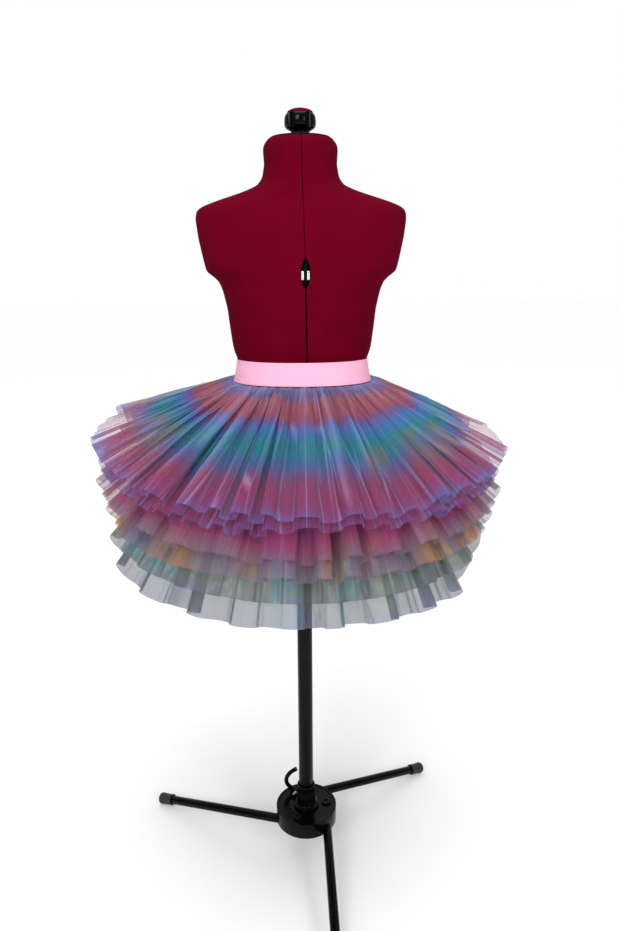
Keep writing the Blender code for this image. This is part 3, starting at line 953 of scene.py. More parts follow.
def small_gathers(gathers, bent, shares):
    """Fine gathers at the waist, which merge in pairs lower down, and how dense their flanks look."""
    merged = ease(shares, 0.12, 0.45)[:, None]
    fine = np.sin(math.tau * gathers * bent)
    coarse = np.sin(math.pi * gathers * bent)
    flanks = np.cos(math.tau * gathers * bent) ** 8 * (1.0 - ease(shares, 0.10, 0.35))[:, None]
    dense = GATHER_DENSITY * flanks * ease(shares, 0.0, 0.02)[:, None]
    return (1.0 - merged) * fine + merged * coarse, dense


def fold_shape(flounce, shares):
    """For each row and column: angle, wave, creases, small gathers, edge density and dye shift."""
    # The two layers of a tier draw their folds from the same row of random numbers.
    tier_rng = random.Random("folds of tier " + str(flounce.tier))
    own_rng = random.Random(flounce.name)
    folds = folds_of(flounce)
    count = flounce.columns
    tau = np.arange(count) / count
    chance = SHALLOW_CHANCE[flounce.tier]
    shallow = [tier_rng.uniform(*SHALLOW_SHARES) * (tier_rng.random() < chance) for _ in folds]
    boost = [tier_rng.choice(FOLD_BOOSTS) for _ in folds]
    most = MOST_HEM_TURN[flounce.tier]
    turns = [(tier_rng.uniform(1.0, most), tier_rng.uniform(1.0, most)) for _ in folds]
    tucked = 1.0 / row_girths(flounce, shares)[:, None]
    grown = ease(shares, 0.05, 0.5)[:, None]
    flats = [flatness(flounce.tier, fold.start + fold.span / 2.0) for fold in folds]

    def trough_of(place):
        calm = 1.0 - PANEL_CALM * max(flats[place], flats[place - 1])
        deep = folds[place].trough * boost[place] * calm
        return deep + (0.5 * folds[place].crest - deep) * shallow[place]

    blocks = []
    for index, fold in enumerate(folds):
        # The wave: up from one trough to the crest and down to the next, deeper towards the hem.
        after = (index + 1) % len(folds)
        calm = 1.0 - PANEL_CALM * flats[index]
        top = 0.5 + fold.lean
        rising = tau < top
        even = np.where(rising, 0.5 * tau / top, 0.5 + 0.5 * (tau - top) / (1.0 - top))
        start_low = fold.trough + (trough_of(index) - fold.trough) * grown
        end_low = folds[after].trough + (trough_of(after) - folds[after].trough) * grown
        high = fold.crest + (fold.crest * boost[index] * calm - fold.crest) * grown
        low = np.where(rising, start_low, end_low)
        wave = low + (high - low) * (0.5 - 0.5 * np.cos(math.tau * even))
        # The sideways push that folds the flanks under, and the dense edges where they turn.
        rise_turn = turns[index][0] * (1.0 - SHALLOW_CALM * shallow[index]) * calm
        fall_turn = turns[index][1] * (1.0 - SHALLOW_CALM * shallow[after]) * calm
        begins = own_rng.uniform(0.0, 0.05)
        spread = ease(shares, begins, begins + own_rng.uniform(0.10, 0.25))[:, None] * tucked
        turn = np.minimum(np.where(rising, rise_turn, fall_turn) * spread, MOST_TURN)
        sideways = tau + turn * np.sin(4.0 * math.pi * even) / (4.0 * math.pi)
        turning = 1.0 + turn * np.cos(4.0 * math.pi * even)
        # edge marks the turning fold edges: denser net there, and where the net's painted highlight colour
        # goes.
        edge = np.exp(-((turning / (0.05 + 4.2 * turn / count)) ** 2)) * ease(shares, 0.0, 0.12)[:, None]
        crease, on_crease = random_creases(own_rng, tau, shares)
        bent = tau + 0.02 * np.sin(math.tau * tau + own_rng.uniform(0.0, math.tau))
        small, on_gather = small_gathers(flounce.gathers, bent, shares)
        edge = np.maximum(np.maximum(edge, on_crease), on_gather)
        dye = own_rng.uniform(-DYE_SHIFT, DYE_SHIFT) * np.sin(math.pi * tau) + np.zeros_like(crease)
        blocks.append((fold.start + fold.span * sideways, wave, crease, small, edge, dye))
    return [np.concatenate(part, axis=1) for part in zip(*blocks)]


def slope_at(flounce, angle):
    c, s = np.cos(angle), np.sin(angle)
    side = flounce.left + (flounce.right - flounce.left) * (1.0 + c) / 2.0
    end = np.where(s < 0, flounce.front, flounce.back)
    shift = 2.3 * len(flounce.name)
    uneven = np.sin(3.0 * angle + shift) + np.sin(7.0 * angle + 2.0 * shift)
    uneven = uneven + 0.7 * np.sin(13.0 * angle + 3.0 * shift)
    return np.radians(side + (end - side) * np.abs(s) ** SLOPE_TURN + HEM_UNEVENNESS[flounce.tier] * uneven)


def path_length(points):
    closed = np.concatenate((points, points[:1]))
    return float(np.linalg.norm(np.diff(closed, axis=0), axis=1).sum())


def row_lengths(points):
    closed = np.concatenate((points, points[:, :1]), axis=1)
    return np.linalg.norm(np.diff(closed, axis=1), axis=2).sum(axis=1)


def strip_points(flounce, shares):
    """The strip's points, row by row. Small gathers take up the cloth that the folds leave over."""
    angle, wave, crease, small, edge, dye = fold_shape(flounce, shares)
    share = shares[:, None]
    root_z = BAND_TOP - BAND_HEIGHT - flounce.drop
    half_width, half_depth, squareness = form_size(root_z)
    x, y = outline(angle, half_width + SEAM_GAP, half_depth + SEAM_GAP, squareness)
    out_x, out_y = x * half_depth, y * half_width
    size = np.hypot(out_x, out_y)
    out_x, out_y = out_x / size + np.cos(angle), out_y / size + np.sin(angle)
    size = np.hypot(out_x, out_y)
    out_x, out_y = out_x / size, out_y / size
    slope = slope_at(flounce, angle)
    cos, sin = np.cos(slope), np.sin(slope)
    along = flounce.cut * share
    puff = PUFF * np.interp(share, (0.0, 0.08, 1.0), (0.0, 1.0, 0.0))
    wave_depth = WAVE_AT_WAIST * np.exp(-share / WAIST_WAVE_SHARE) + flounce.depth * share
    smooth_rise = puff + wave * wave_depth + crease * share

    def raised(depth):
        rise = smooth_rise + depth[:, None] * small
        reach = cos * along + sin * rise
        return np.stack((x + out_x * reach, y + out_y * reach, root_z - sin * along + cos * rise), axis=-1)

    low = np.zeros(len(shares))
    high = DEEPEST_GATHER * ease(shares, 0.0, 0.03)
    wanted = GATHERED_SHARE * row_lengths(raised(low))[-1]
    for _ in range(ROW_TRIALS):
        middle = (low + high) / 2.0
        short = row_lengths(raised(middle)) < wanted
        low, high = np.where(short, middle, low), np.where(short, high, middle)
    return raised(low), edge, dye, patch_shape(flounce.tier, angle, shares)


# %% [markdown]
# Now the six strips are made, each from one flat grid. The cloth's own place on the flat strip goes into
# the UV map in metres, so that the holes of the net keep their size in every fold. The length to cut is
# what the folds take up along the hem, and the printed share compares the finished area with the flat.

# %% Make the six strips
WELL_OUTSIDE = Vector((0.0, -3.0, 3.0))
STRIP_CROWDING = 1.3
for flounce in FLOUNCES:
    columns = flounce.folds * flounce.columns
    shares = (np.arange(STRIP_ROWS + 1) / STRIP_ROWS) ** STRIP_CROWDING
    points, edge, dye, patch = strip_points(flounce, shares)
    piece, column, row = strip_grid("net_" + flounce.name, columns, STRIP_ROWS)
    steps = np.linalg.norm(np.roll(points[-1], -1, axis=0) - points[-1], axis=1)
    laid = np.concatenate(([0.0], np.cumsum(steps)))
    width = laid[-1]
    lay_points(piece, points[row, column % columns], laid[column], flounce.cut * shares[row])
    place = row, column % columns
    attribute(piece, "dye", shares[row] + dye[place] + LAYER_DYE[flounce.name])
    # fold: where the net is denser, and where its painted highlight colour is mixed in.
    attribute(piece, "fold", edge[place])
    attribute(piece, "patch", LAYER_PATCH.get(flounce.name, 1.0) * patch[place])
    close_loop(piece, WELL_OUTSIDE)
    piece.data.shade_smooth()
    slot = TIER_SLOTS[flounce.tier]
    finish_piece(piece, TULLES[slot], "form", flounce.name)
    area = sum(polygon.area for polygon in piece.data.polygons)
    share = area / (width * flounce.cut)
    print("  cut", round(width, 3), "x", flounce.cut, "m, area share", round(share, 2))

# %% [markdown]
# The waistband is a loop of wide elastic, worn stretched. The strips are sewn under its lower edge, so
# it puckers a little there and flares over them, with a row of stitches just above the edge.

# %% The waistband
BAND_COLUMNS = 240
BAND_ROWS = 14
BAND_THICKNESS = 0.0012
STITCH_HEIGHT = 0.0030
STITCH_SINK = 0.00035
STITCH_SINK_WIDTH = 0.0011
PUCKERS = 61
PUCKER_DEPTH = 0.00028
FLARE = 0.0010
FLARE_HEIGHT = 0.008
WAIST_Z = 0.8953
BAND_AIR = 0.0004


def band_points(angle, below):
    """Points of the elastic's outer face, at an angle and a distance below its top edge."""
    z = BAND_TOP - below
    half_width, half_depth, squareness = form_size(np.minimum(z, WAIST_Z))
    near_foot = ease(below, BAND_HEIGHT - FLARE_HEIGHT, BAND_HEIGHT)
    at_stitch = np.exp(-(((below - BAND_HEIGHT + STITCH_HEIGHT) / STITCH_SINK_WIDTH) ** 2))
    pucker = np.sin(PUCKERS * angle + 1.3 * np.sin(3.0 * angle)) * PUCKER_DEPTH * near_foot
    out = BAND_AIR + BAND_THICKNESS + FLARE * near_foot - STITCH_SINK * at_stitch + pucker
    x, y = outline(angle, half_width + out, half_depth + out, squareness)
    return np.stack((x, y, np.broadcast_to(z, x.shape)), axis=-1)


angles = math.tau * np.arange(BAND_COLUMNS) / BAND_COLUMNS
falls = BAND_HEIGHT * np.arange(BAND_ROWS + 1) / BAND_ROWS
band_grid = band_points(angles[None, :], falls[:, None])
band, column, row = strip_grid("elastic_waistband", BAND_COLUMNS, BAND_ROWS)
band_length = path_length(band_grid[0])
band_across = band_length * column / BAND_COLUMNS
lay_points(band, band_grid[row, column % BAND_COLUMNS], band_across, falls[row])
close_loop(band, Vector((0, -3, 0.88)))
thicken(band, BAND_THICKNESS)
bevel(band, 0.0003, segments=2, degrees=60, smoothing=50)
finish_piece(band, ELASTIC, "form", "waistband")

# %% [markdown]
# The stitches are short lengths of pink thread. One is modelled from a small cylinder with rounded
# ends, and its copies are joined into a single ring.

# %% The row of stitches
STITCHES = 170
STITCH_LENGTH = 0.0021
THREAD_RADIUS = 0.00022
deselect_everything()
bpy.ops.mesh.primitive_cylinder_add(vertices=6, radius=THREAD_RADIUS, depth=STITCH_LENGTH)
thread = named("waist_stitches")
edit_all(thread)
bpy.ops.mesh.bevel(offset=THREAD_RADIUS * 0.5, segments=1)
leave_edit()
threads = [thread] + [copied(thread, "stitch") for _ in range(STITCHES - 1)]
for index, stitch in enumerate(threads):
    angle = math.tau * index / STITCHES
    here, ahead = band_points(np.array([angle, angle + 0.01]), BAND_HEIGHT - STITCH_HEIGHT)
    turn = Vector((0, 0, 1)).rotation_difference(Vector(ahead - here)).to_matrix().to_4x4()
    outwards = Vector((here[0], here[1], 0)).normalized() * THREAD_RADIUS * 0.6
    stitch.data.transform(Matrix.Translation(Vector(here) + outwards) @ turn)
pick(thread)
for stitch in threads:
    stitch.select_set(True)
bpy.ops.object.join()
smooth(thread)
THREAD_PINK = linear(252, 176, 216)
THREAD = make_hard("pink_thread", THREAD_PINK, linear(238, 160, 204), 0.7, 0.00003, specular=0.2)
finish_piece(thread, THREAD, "form", slot="pink_elastic")

# %% [markdown]
# The form's body could be one closed skin, but its front and back halves are parted by a seam that
# opens when the dial is turned. The seam is a real groove: two more columns of corners lie at its
# bottom, and its width grows from the neck to the waist. All rows run between the same two seams.

# %% The form's body
BODY_LEVELS = 150
SIDE_COLUMNS = 104
SEAM_DEPTH = 0.0120
SeamPoint = namedtuple("SeamPoint", "z x width")
FRONT_SEAM = rows_of(SeamPoint, (
    (0.5980, 0.0080, 0.0030),
    (0.8900, 0.0080, 0.0030),
    (0.9950, 0.0068, 0.0023),
    (1.0420, 0.0064, 0.0011),
    (1.1400, 0.0030, 0.0010),
    (1.2075, 0.0016, 0.0009),
))


def body_points(levels):
    """Rows of corners: the right side, the back groove, the left side, the front groove."""
    seam_z = [point.z for point in FRONT_SEAM]
    seam_x = np.interp(levels, seam_z, [point.x for point in FRONT_SEAM])
    half_gap = np.interp(levels, seam_z, [point.width for point in FRONT_SEAM]) / 2.0
    half_width, half_depth, squareness = form_size(levels)

    def angle_of(x):
        return np.arccos(np.sign(x) * (np.abs(x) / half_width) ** (squareness / 2.0))

    share = np.linspace(0.0, 1.0, SIDE_COLUMNS + 1)[None, :]
    sides = []
    for start, end in (
        (-angle_of(seam_x + half_gap), angle_of(half_gap)),
        (angle_of(-half_gap), math.tau - angle_of(seam_x - half_gap)),
    ):
        angle = start[:, None] + (end - start)[:, None] * share
        sides.append(outline(angle, half_width[:, None], half_depth[:, None], squareness[:, None]))
    right, left = sides
    back_x = np.stack((right[0][:, -1], left[0][:, 0]), axis=1)
    back_y = np.stack((right[1][:, -1], left[1][:, 0]), axis=1) - SEAM_DEPTH
    front_x = np.stack((left[0][:, -1], right[0][:, 0]), axis=1)
    front_y = np.stack((left[1][:, -1], right[1][:, 0]), axis=1) + SEAM_DEPTH
    x = np.concatenate((right[0], back_x, left[0], front_x), axis=1)
    y = np.concatenate((right[1], back_y, left[1], front_y), axis=1)
    return np.stack((x, y, np.broadcast_to(levels[:, None], x.shape)), axis=-1)


levels = np.union1d(np.linspace(FORM[0].z, FORM[-1].z, BODY_LEVELS + 1), LEVELS)[::-1]
body_grid = body_points(levels)
body_columns = body_grid.shape[1]
body, column, row = strip_grid("jersey_body", body_columns, len(levels) - 1)
girth = path_length(body_points(np.array([1.04]))[0])
lay_points(body, body_grid[row, column % body_columns], girth * column / body_columns, levels[row])
close_loop(body, Vector((0.3, -3, 1.0)))
edit_all(body)
bpy.ops.mesh.fill_holes(sides=0)
bpy.ops.mesh.select_all(action="SELECT")
bpy.ops.mesh.normals_make_consistent(inside=False)
leave_edit()
print("body of", len(levels), "levels")

# %% [markdown]
# The dial's slot is a lens. Two round bars that overlap give that shape, and a third bar bores the
# hole for the rod. The slot is painted black inside, so a very thin black lining follows its wall.

# %% Cut the slot and the bore
SLOT_X = 0.0065
SLOT_Z = 1.0188
SLOT_HALF_HEIGHT = 0.0224
SLOT_HALF_WIDTH = 0.0070
SLOT_DEPTH = 0.0380
LINING = 0.00015
LINING_AIR = 0.0006
ROD_RADIUS = 0.0100
ROD_TOP = 0.7000
GAP = 0.0003


def lens_bar(name, half_height, half_width, front, back):
    """A bar along Y with pointed ends above and below: what two round bars have in common."""
    radius = (half_height**2 + half_width**2) / (2.0 * half_width)
    bars = []
    for side in (-1, 1):
        x = SLOT_X + side * (radius - half_width)
        bars.append(rod(name, (x, front, SLOT_Z), (x, back, SLOT_Z), radius, segments=360))
    join_by(bars[0], bars[1], "INTERSECT")
    return bars[0]


slot_front = -float(form_size(SLOT_Z)[1])
slot_back = slot_front + SLOT_DEPTH
slot_bar = lens_bar("slot", SLOT_HALF_HEIGHT, SLOT_HALF_WIDTH, slot_front - 0.01, slot_back)
join_by(body, slot_bar, "DIFFERENCE")
bore = rod("bore", (0, 0, 0.55), (0, 0, ROD_TOP + GAP), ROD_RADIUS + GAP, segments=64)
join_by(body, bore, "DIFFERENCE")
smooth(body, 40)
finish_piece(body, JERSEY, "form", "form_torso")

small_height = SLOT_HALF_HEIGHT - LINING_AIR
small_width = SLOT_HALF_WIDTH - LINING_AIR / 4
lining = lens_bar("slot_lining", small_height, small_width, slot_front + 0.0016, slot_back - 0.0004)
edit_faces(lining, lambda polygon: polygon.normal.y < -0.9)
bpy.ops.mesh.delete(type="FACE")
leave_edit()
thicken(lining, LINING)
smooth(lining, 30)
finish_piece(lining, PLASTIC, "form")

# %% [markdown]
# The dial is a thin wheel with a knurled rim. A plain cylinder gets its knurls when each face of the
# rim is inset and pushed in. The strips beside it are white blocks with rounded corners and small
# plain numerals, which are text turned into a mesh.

# %% The dial
WHEEL_RADIUS = 0.0155
WHEEL_HALF = 0.0020
WHEEL_SINK = 0.0010
KNURLS = 64
wheel_y = slot_front + WHEEL_SINK + WHEEL_RADIUS
wheel_left = (SLOT_X - WHEEL_HALF, wheel_y, SLOT_Z)
wheel_right = (SLOT_X + WHEEL_HALF, wheel_y, SLOT_Z)
wheel = rod("dial_wheel_ribbed", wheel_left, wheel_right, WHEEL_RADIUS, segments=KNURLS)
edit_faces(wheel, lambda polygon: abs(polygon.normal.x) < 0.5)
bpy.ops.mesh.inset(thickness=0.00025, depth=-0.0005, use_individual=True)
leave_edit()
bevel(wheel, 0.0001, segments=2, degrees=30, smoothing=30)
finish_piece(wheel, PLASTIC, "form", "dial_wheel")

SCALE_Z = 1.0163
SCALE_HEIGHT = 0.0118
SCALE_WIDTH = 0.0034
SCALE_DEPTH = 0.0070
SCALE_SINK = 0.0012
scale_front = -float(form_size(SCALE_Z)[1]) + SCALE_SINK
scale_offset = WHEEL_HALF + GAP + SCALE_WIDTH / 2
NUMERAL_SIZE = 0.0034
NUMERAL_STEP = 0.0037
NUMERAL_RISE = 0.00003
for name, side, numerals in (("dial_scale_left", -1, "678"), ("dial_scale_right", 1, "901")):
    deselect_everything()
    middle = Vector((SLOT_X + side * scale_offset, scale_front + SCALE_DEPTH / 2, SCALE_Z))
    bpy.ops.mesh.primitive_cube_add(size=1.0, location=middle)
    block = named("numbered_" + name)
    block.scale = (SCALE_WIDTH, SCALE_DEPTH, SCALE_HEIGHT)
    settle(block)
    bevel(block, 0.0007, segments=4)
    finish_piece(block, WHITE, "form", name)
    for place, numeral in enumerate(numerals):
        deselect_everything()
        at = middle + Vector((0, -SCALE_DEPTH / 2 - 0.00002, (1 - place) * NUMERAL_STEP))
        bpy.ops.object.text_add(location=at, rotation=(math.pi / 2, 0, 0))
        text = bpy.context.object
        text.data.body = numeral
        text.data.size = NUMERAL_SIZE
        text.data.align_x = "CENTER"
        text.data.align_y = "CENTER"
        text.data.extrude = NUMERAL_RISE
        bpy.ops.object.convert(target="MESH")
        mark = named("numeral_" + name + "_" + str(place))
        settle(mark)
        finish_piece(mark, INK, "form", slot="white_scale")

# %% [markdown]
# On the neck sits a thin oval cap, and on it a star knob with five lobes. The star could be drawn, but
# it is made as in a workshop: a turned head, then five upright round cuts round its rim. A domed
# button of the jersey covers the top.

# %% Cap, knob and button
CAP_FOOT = FORM[-1].z + GAP
CAP_LONG = 0.0434
CAP_SHORT = 0.0388
CAP_HEIGHT = 0.0021
cap = turned("neck_cap_oval", ((CAP_LONG, CAP_FOOT), (CAP_LONG, CAP_FOOT + CAP_HEIGHT)), 128)
edit_all(cap)
bpy.ops.transform.resize(value=(1, CAP_SHORT / CAP_LONG, 1), center_override=(0, 0, CAP_FOOT))
leave_edit()
bevel(cap, 0.0009, segments=4)
finish_piece(cap, PLASTIC, "form", "neck_cap")

CAP_SOLID_HEIGHT = 0.0022
KNOB_FOOT = CAP_FOOT + CAP_SOLID_HEIGHT + GAP
KNOB_TOP = 1.2364
KNOB = (
    (0.0136, KNOB_FOOT),
    (0.0130, 1.2072),
    (0.0130, 1.2120),
    (0.0140, 1.2140),
    (0.0168, 1.2156),
    (0.0197, 1.2170),
    (0.0215, 1.2190),
    (0.0224, 1.2220),
    (0.0225, 1.2260),
    (0.0223, 1.2300),
    (0.0216, 1.2332),
    (0.0206, 1.2352),
    (0.0190, KNOB_TOP),
)
LOBES = 5
GROOVE_RADIUS = 0.0100
GROOVE_RING = 0.0284
knob = turned("star_knob", KNOB, 160)
for i in range(LOBES):
    angle = -math.pi / 2 + math.tau * (i + 0.5) / LOBES
    x, y = GROOVE_RING * math.cos(angle), GROOVE_RING * math.sin(angle)
    groove = rod("groove", (x, y, 1.2050), (x, y, 1.2450), GROOVE_RADIUS, segments=64)
    join_by(knob, groove, "DIFFERENCE")
bevel(knob, 0.0026, segments=6, degrees=30, smoothing=50)
finish_piece(knob, PLASTIC, "knob", "neck_knob")

BUTTON_RADIUS = 0.0186
BUTTON_RISE = 0.0068
BUTTON_STEPS = 12
button_profile = [(BUTTON_RADIUS - 0.0006, KNOB_TOP + GAP)]
for i in range(BUTTON_STEPS):
    radius = BUTTON_RADIUS * math.cos(0.5 * math.pi * i / BUTTON_STEPS)
    rise = BUTTON_RISE * math.sin(0.5 * math.pi * i / BUTTON_STEPS)
    button_profile.append((radius, KNOB_TOP + GAP + 0.0004 + rise * 0.97))
button = turned("jersey_button", button_profile, 96)
smooth(button, 60)
BUTTON_MAROON = (0.105, 0.0002, 0.009)
WORN_MAROON = (0.140, 0.0005, 0.014)
BUTTON_CLOTH = make_hard("button_jersey", BUTTON_MAROON, WORN_MAROON, 0.9, 0.0002, specular=0.05)
finish_piece(button, BUTTON_CLOTH, "knob", "knob_button", slot="form_fabric")

# %% [markdown]
# The stand is tube and turned parts in black enamel. The rod slides in the pole, and a clamp collar
# grips it. Each round part is a profile turned with many steps, with its edges rounded by a bevel.

# %% Pole, collar and rod
POLE_RADIUS = 0.0127
POLE_TOP = 0.5655
COLLAR_RADIUS = 0.0170
COLLAR_FOOT = 0.5390
COLLAR_TOP = 0.5660
HUB_FOOT = 0.0570
HUB_TOP = 0.0861
ROD_FOOT = 0.2800


def sleeve_profile(outer, inner, foot, top):
    return ((outer, foot), (outer, top), (inner, top), (inner, foot), (outer, foot))


pole_wall = sleeve_profile(POLE_RADIUS, ROD_RADIUS + GAP, HUB_TOP + GAP, POLE_TOP)
pole = turned("enamelled_pole", pole_wall, 96, tube=True)
bevel(pole, 0.0005)
finish_piece(pole, ENAMEL, "stand", "pole")
collar_wall = sleeve_profile(COLLAR_RADIUS, POLE_RADIUS + GAP, COLLAR_FOOT, COLLAR_TOP)
collar = turned("clamp_collar", collar_wall, 96, tube=True)
bevel(collar, 0.0015, segments=5)
finish_piece(collar, PLASTIC, "stand", "pole_collar")
inner_rod = turned("steel_rod", ((ROD_RADIUS, ROD_FOOT), (ROD_RADIUS, ROD_TOP)), 64)
bevel(inner_rod, 0.0006)
finish_piece(inner_rod, STEEL, "rod", "form_rod")

# %% [markdown]
# The legs pass the pole on one side, like the blades of a propeller, so each leg's line is moved
# sideways from the centre. They slope down to rubber tips that the floor cuts flat. One tip is
# modelled, and each leg gets a copy.

# %% The legs
LEG_RADIUS = 0.0078
LEG_OFFSET = 0.0353
LEG_REACH = 0.3057
LEG_RIM_REACH = 0.0541
LEG_RIM_Z = 0.0640
LEG_END_Z = 0.0095
LEG_INNER_REACH = 0.0160
LEGS = 3
FIRST_LEG_ANGLE = math.radians(152.7)
TIP_LENGTH = 0.0260
TIP_FLOOR = 0.0060
TIP_CUP = (
    (0.0040, -0.0048),
    (0.0075, -0.0040),
    (0.0098, -0.0024),
    (0.0105, -0.0004),
    (0.0105, 0.0030),
    (0.0101, 0.0050),
    (0.0099, 0.0090),
    (0.0097, 0.0150),
    (0.0097, TIP_LENGTH - 0.0030),
    (0.0102, TIP_LENGTH - 0.0020),
    (0.0102, TIP_LENGTH),
    (LEG_RADIUS + GAP, TIP_LENGTH),
    (LEG_RADIUS + GAP, TIP_FLOOR - GAP),
)


def leg_point(index, reach):
    angle = FIRST_LEG_ANGLE + index * math.tau / LEGS
    along = Vector((math.cos(angle), math.sin(angle), 0.0))
    shift = Vector((-along.y, along.x, 0.0)) * LEG_OFFSET
    fall = (LEG_RIM_Z - LEG_END_Z) / (LEG_REACH - LEG_RIM_REACH)
    point = shift + along * reach
    point.z = LEG_RIM_Z - (reach - LEG_RIM_REACH) * fall
    return point


one_tip = turned("rubber_tip", TIP_CUP, 48)
bevel(one_tip, 0.0003, segments=2, smoothing=None)
for index, side in enumerate(("left", "front", "right")):
    end = leg_point(index, LEG_REACH)
    inner = leg_point(index, LEG_INNER_REACH)
    up_leg = (inner - end).normalized()
    leg = rod("enamelled_leg_" + side, inner, end + up_leg * TIP_FLOOR, LEG_RADIUS)
    bevel(leg, 0.0005)
    finish_piece(leg, ENAMEL, "stand", "leg_" + side)
    tip = copied(one_tip, "rubber_tip_" + side)
    tip.location = end
    tip.rotation_euler = Vector((0, 0, 1)).rotation_difference(up_leg).to_euler()
    settle(tip)
    edit_all(tip)
    bpy.ops.mesh.bisect(plane_co=(0, 0, 0.0001), plane_no=(0, 0, 1), clear_inner=True, use_fill=True)
    leave_edit()
    smooth(tip)
    finish_piece(tip, RUBBER, "stand", "leg_tip_" + side)
bpy.data.objects.remove(one_tip, do_unlink=True)

# %% [markdown]
# The foot is a round drum with a raised lip. Three slanting sockets are bored into it for the legs,
# with the legs' own line and a little air. The sleeve that holds the pole has a wide flange.

# %% The foot
HUB_RADIUS = 0.0541
LIP_HEIGHT = 0.0014
LIP_WIDTH = 0.0032
HUB = (
    (HUB_RADIUS - 0.0024, HUB_FOOT),
    (HUB_RADIUS, HUB_FOOT + 0.0024),
    (HUB_RADIUS, HUB_TOP + LIP_HEIGHT),
    (HUB_RADIUS - LIP_WIDTH, HUB_TOP + LIP_HEIGHT),
    (HUB_RADIUS - LIP_WIDTH - 0.0006, HUB_TOP),
    (HUB_RADIUS - 0.0200, HUB_TOP),
)
hub = turned("foot_drum", HUB, 160)
for index in range(LEGS):
    socket = rod(
        "socket",
        leg_point(index, LEG_INNER_REACH - GAP),
        leg_point(index, 2 * LEG_RIM_REACH),
        LEG_RADIUS + GAP,
        segments=64,
    )
    join_by(hub, socket, "DIFFERENCE")
bevel(hub, 0.0009, segments=4, smoothing=45)
finish_piece(hub, ENAMEL, "stand", "hub")

SLEEVE_INNER = POLE_RADIUS + GAP
FLANGE_FOOT = HUB_TOP + GAP
SLEEVE = (
    (0.0225, FLANGE_FOOT),
    (0.0225, FLANGE_FOOT + 0.0045),
    (0.0190, FLANGE_FOOT + 0.0052),
    (0.0174, FLANGE_FOOT + 0.0066),
    (0.0166, FLANGE_FOOT + 0.0110),
    (0.0150, FLANGE_FOOT + 0.0280),
    (0.0150, 0.1258),
    (0.0156, 0.1268),
    (0.0156, 0.1310),
    (SLEEVE_INNER, 0.1310),
    (SLEEVE_INNER, FLANGE_FOOT),
    (0.0225, FLANGE_FOOT),
)
sleeve = turned("pole_sleeve", SLEEVE, 128, tube=True)
bevel(sleeve, 0.0004, segments=3, smoothing=45)
finish_piece(sleeve, ENAMEL, "stand", "hub_sleeve")

# %% [markdown]
# Three low bosses stand round the sleeve. Two have a sunk screw hole, cut with a thinner rod, and on
# the third lies the bright end of a steel screw.

# %% Bosses and screw
BOSS_RING = 0.0360
BOSS_ANGLES = {"hub_boss_right": 7.0, "hub_boss_back": 127.0, "hub_boss_front": 247.0}
BOSS_RADIUS = 0.0082
BOSS_HEIGHT = 0.0032
RECESS_RADIUS = 0.0046
RECESS_FLOOR = 0.0008
for name, degrees in BOSS_ANGLES.items():
    angle = math.radians(degrees)
    x, y = BOSS_RING * math.cos(angle), BOSS_RING * math.sin(angle)
    boss_top = (x, y, FLANGE_FOOT + BOSS_HEIGHT)
    boss = rod("low_" + name, (x, y, FLANGE_FOOT), boss_top, BOSS_RADIUS, segments=64)
    if name != "hub_boss_back":
        recess_foot = FLANGE_FOOT + RECESS_FLOOR
        recess = rod("recess", (x, y, recess_foot), (x, y, recess_foot + 0.01), RECESS_RADIUS, segments=48)
        join_by(boss, recess, "DIFFERENCE")
    bevel(boss, 0.0006, segments=4)
    finish_piece(boss, ENAMEL, "stand", name)

SCREW_SHIFT = Vector((0.0020, -0.0042, 0.0))
SCREW_REACH = Vector((-0.0045, -0.0075, -0.0008))
SCREW_RADIUS = 0.0024
back = math.radians(BOSS_ANGLES["hub_boss_back"])
screw_at = Vector((math.cos(back), math.sin(back), 0.0)) * BOSS_RING + SCREW_SHIFT
screw_at.z = FLANGE_FOOT + BOSS_HEIGHT + GAP + SCREW_RADIUS
screw = rod("screw_end", screw_at, screw_at + SCREW_REACH, SCREW_RADIUS)
bevel(screw, 0.0006)
finish_piece(screw, STEEL, "stand", "hub_screw")

# %% [markdown]
# The hook is a bent rod. Extruding a circle along such a bend is slow work, so a curve with a round
# bevel is drawn through the bend's points and turned into a mesh. Its foot is held in a small block.

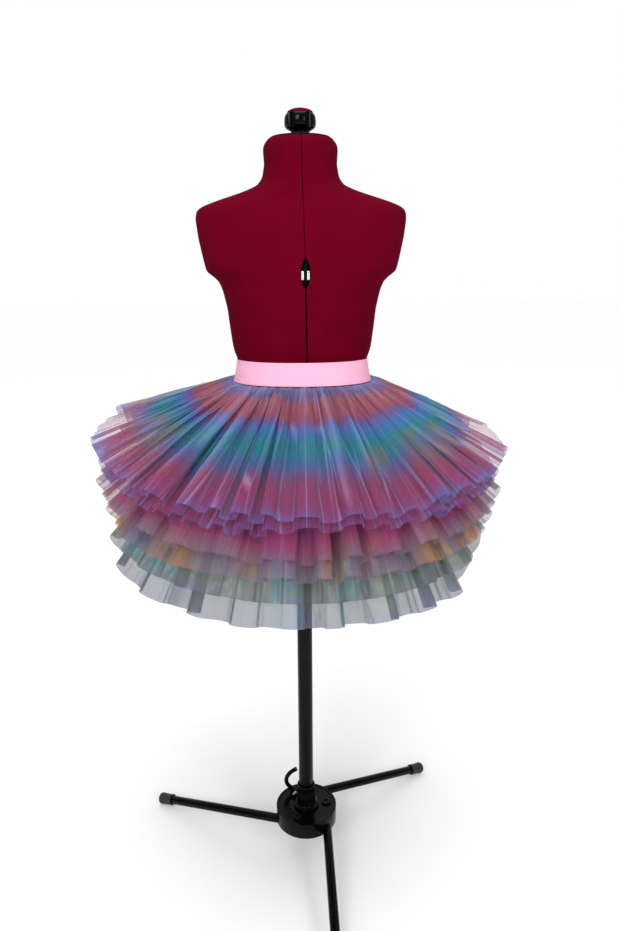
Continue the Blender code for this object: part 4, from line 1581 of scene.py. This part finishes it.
# %% The hook
HOOK_RADIUS = 0.0038
HOOK_Y = 0.0305
HOOK_ROUTE = (
    (-0.0245, 0.0036),
    (-0.0245, 0.0070),
    (-0.0275, 0.0105),
    (-0.0335, 0.0155),
    (-0.0372, 0.0235),
    (-0.0368, 0.0320),
    (-0.0325, 0.0400),
    (-0.0255, 0.0470),
    (-0.0178, 0.0515),
)
HOOK_BLOCK_SIZE = (0.0120, 0.0095, 0.0078)
HOOK_BLOCK_TURN = 0.35
HOOK_BLOCK_PLACE = (-0.0222, HOOK_Y, HUB_TOP + 0.0062)
deselect_everything()
bpy.ops.curve.primitive_bezier_curve_add()
hook = named("bent_hook")
hook.data.splines.clear()
route = hook.data.splines.new("NURBS")
route.points.add(len(HOOK_ROUTE) - 1)
for point, (x, height) in zip(route.points, HOOK_ROUTE):
    point.co = (x, HOOK_Y, HUB_TOP + height, 1.0)
route.use_endpoint_u = True
route.order_u = 3
hook.data.resolution_u = 6
hook.data.dimensions = "3D"
hook.data.bevel_depth = HOOK_RADIUS
hook.data.bevel_resolution = 7
hook.data.use_fill_caps = True
bpy.ops.object.convert(target="MESH")
hook = named("bent_hook")
edit_all(hook)
bpy.ops.mesh.remove_doubles(threshold=0.00001)
bpy.ops.mesh.normals_make_consistent(inside=False)
leave_edit()
settle(hook)
deselect_everything()
bpy.ops.mesh.primitive_cube_add(size=1.0)
block = named("hook_block")
edit_all(block)
bpy.ops.transform.resize(value=HOOK_BLOCK_SIZE)
bpy.ops.transform.rotate(value=HOOK_BLOCK_TURN, orient_axis="Z", center_override=(0.0, 0.0, 0.0))
bpy.ops.transform.translate(value=HOOK_BLOCK_PLACE)
leave_edit()
settle(block)
join_by(hook, block, "UNION")
bevel(hook, 0.0006, segments=3, degrees=50)
finish_piece(hook, ENAMEL, "stand", "hub_hook")

# %% [markdown]
# The floor is a wide pale sheet that is left out of the part: it only takes the shadow. It glows a
# little more with distance, so that it fades into the white room behind.

# %% The floor
FLOOR_SIZE = 60.0
paint, tree, shader = new_material("pale_floor", (0.90, 0.90, 0.90), 0.9, specular=0.1)
cloud = add(tree, "TexNoise", {"Scale": 3.0, "Detail": 4.0}).outputs[0]
away = add(tree, "VectorMath", {0: add(tree, "TexCoord").outputs["Object"]}, operation="LENGTH")
looks = {
    "Base Color": ramped(tree, cloud, 0.0, 1.0, 0.90, 0.94),
    "Emission Strength": ramped(tree, away.outputs["Value"], 0.4, 2.6, 0.04, 0.34),
    "Emission Color": PURE_WHITE,
}
feed(tree, shader, looks)
deselect_everything()
bpy.ops.mesh.primitive_plane_add(size=FLOOR_SIZE)
floor = named("floor")
floor.data.materials.append(paint)
print("floor", FLOOR_SIZE, "m wide")
